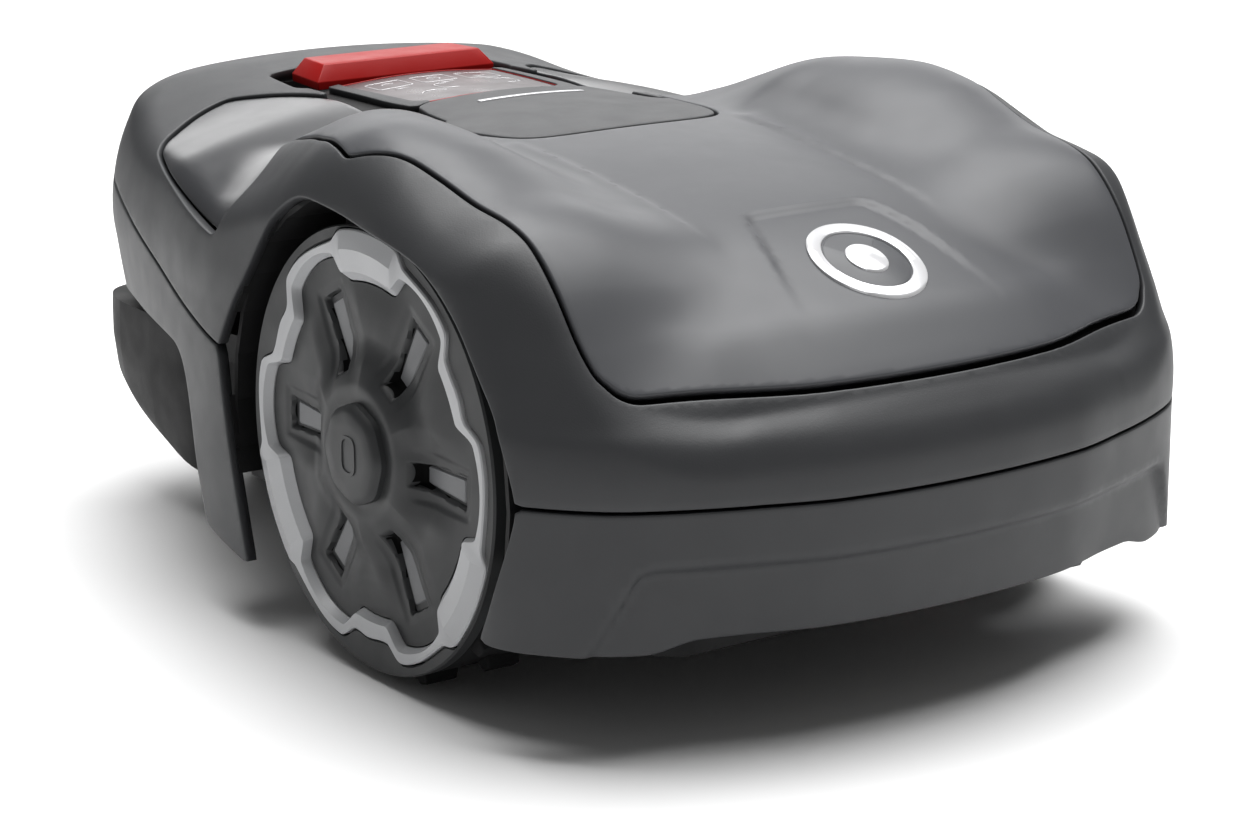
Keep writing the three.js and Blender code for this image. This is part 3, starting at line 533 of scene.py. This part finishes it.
NODE_MATERIALS = {
    "badge": CHROME, "display_panel": SCREEN, "stop": RED, "button": BLACK, "display_board": BOARD,
    "arch": BLACK, "chassis_seal": RUBBER, "chassis": BLACK, "tail": BLACK, "battery_pack": CELL,
    "battery_cover": BLACK, "main_board": BOARD, "main_switch": RED, "charge": BRASS, "bump": BLACK,
    "lift": BLACK, "wheel_motor": STEEL, "wheel_axle": STEEL, "tyre": TYRE, "wheel_rim": COVER,
    "wheel_band": COVER, "trim": RING, "spoke": COVER, "hub": COVER, "caster_fork": BLACK,
    "caster_wheel": TYRE, "caster_pin": STEEL, "cutting_carriage": BLACK, "cutting_motor": STEEL,
    "blade_disc": COVER, "blade": STEEL, "skid": BLACK, "height": BLACK, "hood": HOOD, "side": GLOSS,
    "upper": MATTE, "lower": MATTE, "rear": MATTE,
}
for node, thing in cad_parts.items():
    prefix = max((p for p in NODE_MATERIALS if node.startswith(p)), key=len)
    thing.data.materials.clear()
    thing.data.materials.append(NODE_MATERIALS[prefix])
    thing.data.shade_smooth()
    thing.data.set_sharp_from_angle(angle=math.radians(28))

# ---- shell pieces ----
GAP_HALF = 0.9
SEAM_HALF = 0.6
LIP_Z = 145.3  # front edge of the hood
SPLIT_Y = 60  # the bumper ends this far ahead of the axle, and the rear skirt starts as far behind it

HOOD_HALF = [(0, -200, 2), (134, -200, 2), (139.5, -134.5), (144, -128), (146.5, -119), (147.5, -108),
             (148, -90), (148.5, -60), (150, -32), (154, -6), (158, 7), (163.5, 23, 4), (150, 70),
             (127, 132, 2), (70, 132, 2), (65, 100), (62, 78), (58, 65), (53, 58), (44, 53), (24, 50.5),
             (0, 50)]
HOOD_LINE = soft_outline(both_sides(HOOD_HALF))
PANEL_HALF = [(64, 137, 2), (62, 170), (60, 200), (62, 216), (68, 234), (76, 248), (88, 260, 4), (104, 257),
              (122, 249), (140, 240), (190, 225, 2), (190, 118, 2), (174, 117), (160, 112), (146, 117),
              (130, 135, 3)]
panel_low = curve([(90, 170), (125, 172.5), (143, 174.5), (182, 180), (235, 188), (262, 193.5),
                   (300, 200)])
PANEL_LINE = {1: soft_outline(PANEL_HALF), -1: soft_outline(flipped(PANEL_HALF))}
ARCH_LINE = soft_outline([(-84, 0, 2), (-93, 44), (-100.5, 58), (-106.5, 74), (-112, 90), (-115.5, 106),
                          (-106, 134), (-92, 154), (-78, 173), (-63, 184), (-41, 191), (-11, 195),
                          (13, 199), (45, 201, 8), (58, 194, 8), (70, 181), (85, 161), (100, 143),
                          (113, 123, 1.5), (109, 100), (104, 78), (98, 57), (90, 30), (82, 0, 2)])
SKIRT_LINE = soft_outline([(80, 0, 2), (88, 20, 0.5), (89.4, 28, 3), (134, 37, 5), (140, 50), (147, 64),
                           (153, 86), (159, 101), (167, 109), (182, 112), (306, 107), (420, 104, 2),
                           (420, 240, 2), (60, 240, 2)])
CONSOLE_LINE = soft_outline(both_sides([
    (0, 158), (40, 157.5, 3), (49, 153, 3), (53.5, 137, 2), (57, 115, 2), (61.5, 112, 2.5), (63, 120, 3),
    (60.5, 150), (58, 200), (57, 234, 2), (60, 241, 3), (56, 276, 5), (0, 276)]))
ISLAND_LINE = soft_outline(both_sides([(0, 161), (38, 160.5, 2), (47, 157, 3), (50, 172), (50, 200),
                                       (50, 230.5, 1), (0, 230.5)]))
GLASS_LINE = soft_outline(both_sides([(0, 164), (36, 163.5, 3), (41, 168, 3), (43, 200), (44, 229, 1),
                                      (0, 229)]))


def plan(outline, sign=1):
    return lambda p: sign * polygon_distance(outline, p[:, 0], p[:, 1])


def side_view(outline, sign=1):
    return lambda p: sign * polygon_distance(outline, p[:, 1], p[:, 2])


def above_seam(p):
    return seam_height(p[:, 1]) + SEAM_HALF - GAP_HALF - p[:, 2]


def below_seam(p):
    return p[:, 2] - seam_height(p[:, 1]) + SEAM_HALF - GAP_HALF


def hood_area(sign, lip):
    """Signed distance to the hood's area: inside its plan outline and above the front lip."""
    return lambda p: sign * soft_max(polygon_distance(HOOD_LINE, p[:, 0], p[:, 1]), lip - p[:, 2], 12)


def panel_area(side, sign=1):
    """Signed distance to a side panel: inside its plan outline and above its lower edge on the wall."""
    return lambda p: sign * soft_max(polygon_distance(PANEL_LINE[side], p[:, 0], p[:, 1]),
                                     panel_low(p[:, 1]) - p[:, 2], 10)


def bumper_floor(p):
    """Signed distance below which the bumper ends; its lower edge rises towards the middle."""
    return 44 + 4.5 * smoothstep(134, 112, np.abs(p[:, 0])) - p[:, 2]


def ahead(p):
    return p[:, 1] + SPLIT_Y


def behind(p):
    return SPLIT_Y - p[:, 1]


mesh_points, mesh_faces = sample_shell()
mesh_normals = normals_at(mesh_points)[0]


def shell_piece(name, fields, material, nodes=(), roll=1.0, inset=0.0, depth=5.0, gap=GAP_HALF,
                thick=2.6):
    """The part of the shell inside every field, as a closed sheet on the shell body."""
    points, faces = trim(mesh_points, mesh_faces, mesh_normals, fields, gap + roll)
    points, faces = solid_sheet(points, faces, roll, depth, thick, inset)
    return add_mesh(name, place(points), faces, material, "shell", nodes)


def panel_depth(points):
    """How far the side panels lie below the surface: deepest behind the fender flare."""
    return (1.2 + 4.0 * smoothstep(205, 139, points[:, 1]))[:, None]


shell_piece("hood_skin", [hood_area(1, LIP_Z + 0.9)], HOOD, ["hood"], roll=1.1)
for tag, side in (("left", 1), ("right", -1)):
    shell_piece(f"side_panel_skin_{tag}", [panel_area(side)], GLOSS, [f"side_panel_{tag}"],
                inset=panel_depth)
shell_piece("upper_body_skin", [hood_area(-1, LIP_Z - 0.4), panel_area(1, -1), panel_area(-1, -1),
                                plan(CONSOLE_LINE, -1), above_seam, side_view(ARCH_LINE, -1)],
            MATTE, ["upper_body"], roll=0.9)
shell_piece("lower_bumper_skin", [below_seam, bumper_floor, ahead, side_view(ARCH_LINE, -1)],
            MATTE, ["lower_bumper"], roll=0.9)
shell_piece("rear_skirt_skin", [below_seam, side_view(SKIRT_LINE), behind, side_view(ARCH_LINE, -1)],
            MATTE, ["rear_skirt"], roll=0.9)

# ---- console ----
shell_piece("display_frame", [plan(ISLAND_LINE), plan(GLASS_LINE, -1)], MATTE,
            inset=1.0, roll=0.5, gap=0.0, depth=4)
shell_piece("display_glass", [plan(GLASS_LINE)], SCREEN, ["display_panel"],
            inset=2.0, roll=0.3, gap=0.6, depth=2)


def on_shell(x, y, lift):
    """Points on the top of the shell over (x, y), moved up or down."""
    x, y = np.broadcast_arrays(np.asarray(x, float), np.asarray(y, float))
    start = np.stack([x, y, top_height(x, y) - 3], -1).reshape(-1, 3)
    low, high = start[:, 2] - 12, start[:, 2] + 8
    for _ in range(30):
        mid = (low + high) / 2
        inside = shell_field(start[:, 0], start[:, 1], mid) < 0
        low, high = np.where(inside, mid, low), np.where(inside, high, mid)
    return np.stack([start[:, 0], start[:, 1], low + lift], -1)


def ribbon(path, width, lift, height, closed=False):
    """Points and faces of a thin line laid over the shell, rectangular in section."""
    path = np.array(path, float)
    ahead_of = np.roll(path, -1, axis=0) - path
    back_of = path - np.roll(path, 1, axis=0)
    if not closed:
        ahead_of[-1], back_of[0] = back_of[-1], ahead_of[0]
    along = ahead_of / np.linalg.norm(ahead_of, axis=1, keepdims=True)
    along = along + back_of / np.linalg.norm(back_of, axis=1, keepdims=True)
    along /= np.maximum(np.linalg.norm(along, axis=1, keepdims=True), 1e-9)
    off = np.stack([-along[:, 1], along[:, 0]], 1) * width / 2
    left, right_edge = path - off, path + off
    rows = [on_shell(*left.T, lift), on_shell(*right_edge.T, lift),
            on_shell(*right_edge.T, lift - height), on_shell(*left.T, lift - height)]
    sections = [[row[i] for row in rows] for i in range(len(path))]
    return loft(sections, close_ends=not closed)


def gather(parts):
    """One mesh from several (points, faces) pairs."""
    points, faces, count = [], [], 0
    for p, f in parts:
        points.append(np.asarray(p, float))
        faces += [tuple(i + count for i in face) for face in f]
        count += len(p)
    return np.concatenate(points), faces


def box_line(cx, cy, width, depth, reach=2.0):
    half_w, half_d = width / 2, depth / 2
    corners = [(cx - half_w, cy - half_d), (cx + half_w, cy - half_d), (cx + half_w, cy + half_d),
               (cx - half_w, cy + half_d)]
    return soft_outline([(*c, reach) for c in corners], 5)


def arc_line(cx, cy, radius, start, end, steps=14):
    angles = np.radians(np.linspace(start, end, steps))
    return np.stack([cx + radius * np.cos(angles), cy + radius * np.sin(angles)], 1)


GLASS_LIFT = -1.85
ICON_X = (-27, -2, 23)
ICON_Y = 212
icons = [ribbon(box_line(cx, ICON_Y, 19, 15), 0.5, GLASS_LIFT, 0.3, True) for cx in ICON_X]
icons.append(ribbon(box_line(10, 192, 44, 12, 4), 0.5, GLASS_LIFT, 0.3, True))
icons += [ribbon(arc_line(cx, ICON_Y, 3.2, *turn), 0.6, GLASS_LIFT, 0.3)
          for cx, turn in zip(ICON_X, ((20, 160), (-60, 240), (200, 340)))]
icons.append(ribbon(arc_line(-20, 178, 8, 30, 150), 0.6, GLASS_LIFT, 0.3))
icons += [ribbon([(cx - 4, 200), (cx + 4, 200)], 0.5, GLASS_LIFT, 0.3) for cx in ICON_X]
icon_points, icon_faces = gather(icons)
add_mesh("display_icons", place(icon_points), icon_faces, CHROME, "shell")
rim_points, rim_faces = ribbon(GLASS_LINE, 0.8, -1.7, 0.6, True)
add_mesh("display_red_edge", place(rim_points), rim_faces, RED, "shell")
strip_points, strip_faces = ribbon([(x, 138) for x in np.linspace(-24, 34, 8)], 3.0, 0.5, 1.2)
bevel(add_mesh("console_strip", place(strip_points), strip_faces, CHROME, "shell"), 0.25)

# Black floor under the console openings, and thin sheets of painted shade (the near-black shade material)
# under the gaps round the hood and the side panels.
HOOD_LEDGE = 4.6
PANEL_LEDGE = 9.0
LEDGE_REACH = 9


def ledge_near(field):
    return lambda p: np.abs(field(p)) - LEDGE_REACH


FLOOR_LINE = soft_outline(both_sides([(0, 104), (68, 104, 3), (68, 236, 3), (0, 236)]))
shell_piece("console_floor", [plan(FLOOR_LINE)], BLACK,
            inset=4.2, roll=0.3, gap=0, depth=1, thick=1)
for tag, field, below in (("hood", hood_area(1, LIP_Z), HOOD_LEDGE),
                          ("panel_left", panel_area(1), PANEL_LEDGE),
                          ("panel_right", panel_area(-1), PANEL_LEDGE)):
    shell_piece(f"gap_shade_sheet_{tag}", [ledge_near(field), above_seam, side_view(ARCH_LINE, -1)], PAINTED_SHADE,
                inset=below, roll=0.3, gap=4, depth=1, thick=1)

# ---- stop button ----
BUTTON_ROWS = [  # half width, front y, back y, height of each level
    (50.0, 239.1, 270.0, 206.5), (50.4, 238.7, 270.2, 210.4), (44.4, 243.0, 266.6, 217.9),
    (43.6, 244.2, 265.6, 218.2), (30.0, 247.0, 262.0, 218.35)]
sections = []
for half, front, back, height in BUTTON_ROWS:
    taper = 4.0 * (back - front) / 32
    xs = np.linspace(-1, 1, 15)
    ring = [(half * x, front, height) for x in xs]
    ring += [((half - taper) * x, back, height) for x in xs[::-1]]
    sections.append(ring)
button_points, button_faces = loft(sections)
button = add_mesh("stop_button_bar", place(button_points), button_faces, RED, "stop_button",
                  ["stop_button"], sharp=50)
bevel(button, 1.0, 3, 20)

# ---- badge on the hood ----
BADGE_Y = -116


def disc_on_shell(cx, cy, radii, lifts, steps=64):
    """Rings laid over the shell around a centre, one height above it for each radius."""
    rows = []
    for radius, lift in zip(radii, lifts):
        a = np.radians(np.arange(steps) * 360 / steps)
        rows.append(on_shell(cx + radius * np.cos(a), cy + radius * np.sin(a), lift))
    return rows


ring_rows = disc_on_shell(0, BADGE_Y, [25, 25, 24.4, 19.6, 19, 19], [-1, 0.9, 1.4, 1.4, 0.9, -1])
ring_points, ring_faces = loft(ring_rows + [ring_rows[0]])
plate_rows = disc_on_shell(0, BADGE_Y, [18.2, 18.2, 17.8, 0.4], [-1, 0.1, 0.4, 0.4])
plate_points, plate_faces = loft(plate_rows)
dot_rows = disc_on_shell(0, BADGE_Y, [9, 9, 8.4, 0.4], [-1, 0.9, 1.4, 1.4])
dot_points, dot_faces = loft(dot_rows)
add_mesh("badge_ring", place(ring_points), ring_faces, CHROME, "shell", ["badge_plate"],
         sharp=40)
add_mesh("badge_field", place(plate_points), plate_faces, HOOD, "shell", sharp=40)
add_mesh("badge_dot", place(dot_points), dot_faces, CHROME, "shell", sharp=40)

# ---- drive wheels ----
WHEEL_BODY = {1: "drive_wheel_left", -1: "drive_wheel_right"}
PATCH_ANGLE = 88  # where the middle of one wide patch of the trim ring stands at rest
SLOT_COUNT = 6
SLOT_PITCH = 360 / SLOT_COUNT
LUG_COUNT = 24
COVER_BACK = 163.4  # how far out the back of the spoke cover and the band lies
HUB_RADIUS = 21.0
BAND_RADIUS = 95
RING_RADII = (71.5, 93.2)
ring_inner = curve([(-60, 71.5), (-48, 72), (-42, 82), (-18, 82), (-13, 72), (15, 72), (20, 82), (46, 82),
                    (53, 72), (60, 71.5)])
ring_outer = curve([(-60, 81), (-48, 81), (-42, 89), (-19, 89), (-14, 93), (14, 93), (19, 89), (46, 89),
                    (53, 81), (60, 81)])


def from_patch(deg):
    """Angle from the middle of the nearest of the ring's three patches."""
    return (deg - PATCH_ANGLE + 420) % 120 - 60


def inner_radius(deg):
    return np.clip(ring_inner(from_patch(deg)), *RING_RADII)


def outer_radius(deg):
    return np.clip(ring_outer(from_patch(deg)), *RING_RADII)


def wheel_point(side, x, deg, radius):
    a = np.radians(deg)
    x, deg, radius = np.broadcast_arrays(np.asarray(x, float), deg, radius)
    return np.stack([side * x, -radius * np.cos(a), AXLE_Z + radius * np.sin(a)], -1)


def turned_outwards(piece):
    """Faces of a closed piece turned to face out."""
    bm = bmesh.new()
    bm.from_mesh(piece.data)
    bmesh.ops.recalc_face_normals(bm, faces=bm.faces)
    bm.to_mesh(piece.data)
    bm.free()
    return piece


def wheel_ring(name, side, rows, degs, material, nodes, sharp=28):
    """Closed band round the wheel: rows of (x, radius) at every angle, each row an array over the angles."""
    sections = [[wheel_point(side, x[i], degs[i], r[i]) for x, r in rows] for i in range(len(degs))]
    points, faces = loft(sections, close_ends=False)
    piece = add_mesh(name, place(points), faces, material, WHEEL_BODY[side], nodes)
    turned_outwards(piece)
    piece.data.shade_smooth()
    piece.data.set_sharp_from_angle(angle=math.radians(sharp))
    return piece


def slot_frame(deg, radius):
    """Distance along and across the nearest slot."""
    off = (deg - PATCH_ANGLE + 360) % SLOT_PITCH - SLOT_PITCH / 2
    a = np.radians(off)
    return radius * np.cos(a), radius * np.sin(a)


def cover_height(deg, radius):
    """How far out the spoke cover's surface stands, and how deep it is in a slot."""
    along, across = slot_frame(deg, radius)
    across = np.abs(across)
    dome = 8.6 * smoothstep(50, 24, radius) - 1.2 * smoothstep(30, 22, radius)
    spoke = 2.6 * smoothstep(7, 22, across) * smoothstep(78, 52, radius) * smoothstep(24, 40, radius)
    lip = 1.1 * smoothstep(12.5, 9.5, across) * smoothstep(34, 40, along) * smoothstep(74, 70, along)
    half = 4.6 + 1.6 * (along - 36) / 30
    out_of_slot = np.maximum(np.abs(along - 52) - 16.5, across - half)
    depth = smoothstep(1.0, -0.9, out_of_slot)
    return 166.4 + dome + spoke - lip * 0.6 - 5.0 * depth, depth


for tag, side in (("left", 1), ("right", -1)):
    degs = np.arange(0, 360, 0.5)
    ri, ro = inner_radius(degs), outer_radius(degs)
    one = np.ones_like(degs)
    patch = smoothstep(17, 13, np.abs(from_patch(degs) - 0.5))
    ridge = ri + (ro - ri) * 0.62
    ring_rows = [(163.2 * one, ri), (166.6 * one, ri), (one * 170.4 - 0.2 * patch, ri + 2.0 + 2.0 * patch),
                 (one * 170.7 + 1.2 * patch, ridge), (one * 170.8 - 0.9 * patch, ro - 0.6),
                 (one * 170.2 - 0.9 * patch, ro), (163.2 * one, ro)]
    wheel_ring(f"trim_ring_fine_{tag}", side, ring_rows, degs, RING,
               [f"trim_ring_{tag}"], 24)
    lip = np.minimum(ro + 1.2, 94.0)
    band_rows = [(COVER_BACK * one, ro + 0.7), (168.6 * one, ro + 0.7), (169.4 * one, lip + 0.2),
                 (169.4 * one, one * 94.3), (168.4 * one, one * BAND_RADIUS),
                 (COVER_BACK * one, one * BAND_RADIUS)]
    wheel_ring(f"wheel_band_fine_{tag}", side, band_rows, degs, COVER,
               [f"wheel_band_{tag}"], 30)

    columns = np.arange(0, 360, 0.75)
    share = np.linspace(0, 1, 74)
    radii = HUB_RADIUS + share[:, None] * (inner_radius(columns)[None, :] - 0.7 - HUB_RADIUS)
    height, depth = cover_height(columns[None, :], radii)
    skin = wheel_point(side, height, columns[None, :], radii)
    edge_low = wheel_point(side, COVER_BACK, columns, radii[-1])
    hub_low = wheel_point(side, COVER_BACK, columns, radii[0])
    points, faces = loft([hub_low, *skin, edge_low], close_ends=False)
    cover = add_mesh(f"spoke_cover_fine_{tag}", place(points), faces, COVER, WHEEL_BODY[side],
                     [f"spoke_cover_{tag}"])
    turned_outwards(cover)
    cover.data.shade_smooth()
    cover.data.set_sharp_from_angle(angle=math.radians(60))
    # Faces deep in the slots get the near-black shade material: painted shade on the slot walls and floors.
    cover.data.materials.append(PAINTED_SHADE)
    in_slot = np.pad(depth.ravel(), len(columns))
    painted_shade_faces = [int(in_slot[list(p.vertices)].min() > 0.25) for p in cover.data.polygons]
    cover.data.polygons.foreach_set("material_index", painted_shade_faces)

    bars = []
    for i in range(SLOT_COUNT):
        deg = PATCH_ANGLE + SLOT_PITCH * (i + 0.5)
        a = math.radians(deg)
        along = np.array([-math.cos(a), math.sin(a)])
        across = np.array([-along[1], along[0]])
        outline = soft_outline([(38.2, -3.7, 1), (66.0, -5.1, 1), (66.0, 5.1, 1), (38.2, 3.7, 1)], 4)
        centre = outline.mean(0)
        levels = []
        for x, shrink in ((160.5, 0.0), (163.6, 0.0), (164.1, 0.5)):
            shape = centre + (outline - centre) * np.array([1 - shrink / 14, 1 - shrink / 4])
            flat = shape[:, :1] * along + shape[:, 1:] * across
            levels.append([(side * x, u, AXLE_Z + v) for u, v in flat])
        bars.append(loft(levels))
    bar_points, bar_faces = gather(bars)
    turned_outwards(add_mesh(f"slot_bars_{tag}", place(bar_points), bar_faces, INSERT, WHEEL_BODY[side],
                             sharp=30))

    columns = np.arange(0, 360, 3.0)
    facet = 1 + 0.018 * np.cos(np.radians(columns * 8))
    cap_rows = [wheel_point(side, x, columns, r * facet) for x, r in
                ((170.0, 21.6), (176.3, 21.2), (178.3, 19.6), (179.2, 17.6), (179.3, 12.0), (179.3, 0.3))]
    cap_points, cap_faces = loft(cap_rows)
    turned_outwards(add_mesh(f"hub_boss_{tag}", place(cap_points), cap_faces, COVER, WHEEL_BODY[side],
                             [f"hub_cap_{tag}"], sharp=30))
    frame_out, frame_in = box_line(0, 0, 11.5, 17, 5), box_line(0, 0, 8.6, 14, 4)
    relief = [[(side * x, u, AXLE_Z + v) for u, v in shape] for x, shape in
              ((178.9, frame_out), (179.8, frame_out * 0.985), (179.8, frame_in * 1.02), (178.9, frame_in))]
    relief_points, relief_faces = loft(relief + [relief[0]])
    turned_outwards(add_mesh(f"hub_relief_{tag}", place(relief_points), relief_faces, COVER, WHEEL_BODY[side],
                             sharp=30))

    # tyre: rounded carcass with a groove, and two rows of tapered lugs
    columns = np.arange(0, 360, 3.0)
    profile = [(128.0, 80.6), (128.0, 91.0), (128.9, 93.6), (131.0, 94.9), (143.0, 95.0), (143.8, 93.8),
               (146.2, 93.8), (147.0, 95.0), (159.6, 94.9), (161.6, 94.0), (162.5, 92.4), (162.5, 80.6)]
    tyre_rows = [(np.full(len(columns), x), np.full(len(columns), r)) for x, r in profile]
    wheel_ring(f"tyre_carcass_{tag}", side, tyre_rows, columns, TYRE, [f"tyre_{tag}"], 40)
    lugs = []
    for i in range(LUG_COUNT):
        middle = 153.0 if i % 2 else 137.0
        levels = []
        for radius, length, width in ((93.6, 9.0, 17.0), (97.0, 7.4, 16.2), (99.7, 5.6, 14.8)):
            angle = math.degrees(length / 2 / radius)
            corners = [(middle - width / 2, -angle), (middle + width / 2, -angle),
                       (middle + width / 2, angle), (middle - width / 2, angle)]
            turned = 90 - i * 360 / LUG_COUNT
            levels.append([wheel_point(side, x, turned + d, radius) for x, d in corners])
        lugs.append(loft(levels))
    lug_points, lug_faces = gather(lugs)
    lug_piece = add_mesh(f"tyre_lugs_{tag}", place(lug_points), lug_faces, TYRE, WHEEL_BODY[side],
                         sharp=30)
    turned_outwards(lug_piece)
    bevel(lug_piece, 0.7, 2, 25)

# ---- tail pods ----
POD_TOP = 98
RIB_TOP = 97
RIB_THICK = 4
pod_plan = soft_outline([(106, 240, 3), (119, 240, 6), (122.2, 262), (122.4, 305), (119, 329, 14),
                         (110, 344, 8), (96, 350, 4), (92, 342, 4), (97, 310), (104, 270)], 5)
pod_low = curve([(231, 40), (240, 28), (252, 24), (280, 34), (300, 42), (316, 50), (332, 60), (352, 76)])
for tag, side in (("left", 1), ("right", -1)):
    centre = pod_plan.mean(0)
    levels = []
    for share, shrink in ((0.0, 0.55), (0.03, 0.32), (0.12, 0.16), (0.42, 0.03), (0.5, 0.0),
                          (0.85, 0.0), (1.0, 0.03)):
        shape = centre + (pod_plan - centre) * np.array([1 - shrink, 1 - shrink * 0.25])
        low = np.maximum(pod_low(shape[:, 1]), 20)
        levels.append([(side * u, v, z0 + (POD_TOP - z0) * share) for (u, v), z0 in zip(shape, low)])
    pod_points, pod_faces = loft(levels)
    pod = add_mesh(f"tail_pod_{tag}", place(pod_points), pod_faces, BLACK, "chassis",
                   [f"tail_guard_{tag}"], sharp=35)
    turned_outwards(pod)

# Side walls of the chassis between the tub and the tail pods.
for tag, side in (("left", 1), ("right", -1)):
    rib = [[(side * x, y, low), (side * (x + RIB_THICK), y, low), (side * (x + RIB_THICK), y, RIB_TOP),
            (side * x, y, RIB_TOP)]
           for x, y, low in ((104, 192, 42), (104, 214, 44), (104, 234, 52), (103, 246, 66))]
    rib_points, rib_faces = loft(rib)
    turned_outwards(add_mesh(f"tail_rib_{tag}", place(rib_points), rib_faces, BLACK, "chassis",
                             sharp=30))

# ---- camera, floor and light ----
CAMERA_PLACE = (-0.8902, -1.2896, 0.4884)  # with its direction and lens, solved from the photograph
CAMERA_LENS = 101.2
WORLD_LIGHT = 0.14
FLOOR_HALF = 14  # metres

camera = bpy.data.objects.new("photo_camera", bpy.data.cameras.new("photo_camera"))
bpy.context.scene.collection.objects.link(camera)
camera.location = CAMERA_PLACE
right = Vector((0.8165, -0.5774, 0))
forward = Vector((0.558, 0.789, -0.2576)).normalized()
up = right.cross(forward)
camera.rotation_euler = Matrix((right, up, -forward)).transposed().to_euler()
camera.data.lens = CAMERA_LENS
camera.data.sensor_width = 36
bpy.context.scene.camera = camera

floor_mesh = bpy.data.meshes.new("floor")
floor_bm = bmesh.new()
bmesh.ops.create_grid(floor_bm, x_segments=8, y_segments=8, size=FLOOR_HALF)
floor_bm.to_mesh(floor_mesh)
floor = bpy.data.objects.new("floor", floor_mesh)
bpy.context.scene.collection.objects.link(floor)
floor.data.materials.append(surface("floor_pale", (0.93, 0.93, 0.93, 1), 0.85, specular=0.1, grain=40,
                                    grain_depth=0.0, vary=0.005, wear=0.0))

world = bpy.data.worlds.new("studio")
world.use_nodes = True
world.node_tree.nodes["Background"].inputs[0].default_value = (1, 1, 1, 1)
world.node_tree.nodes["Background"].inputs[1].default_value = WORLD_LIGHT
bpy.context.scene.world = world


def softbox(name, place_at, aim, width, depth, watts):
    lamp = bpy.data.objects.new(name, bpy.data.lights.new(name, "AREA"))
    lamp.data.shape = "RECTANGLE"
    lamp.data.size, lamp.data.size_y, lamp.data.energy = width, depth, watts
    lamp.location = place_at
    lamp.rotation_euler = (Vector(aim) - Vector(place_at)).to_track_quat("-Z", "Y").to_euler()
    bpy.context.scene.collection.objects.link(lamp)


softbox("overhead", (0.4, 0.25, 2.2), (0, 0.0, 0.1), 2.6, 2.2, 115)
softbox("rear_window", (1.45, 2.05, 0.95), (0, 0, 0.2), 2.6, 0.9, 14)
bpy.context.scene.view_settings.view_transform = "Standard"
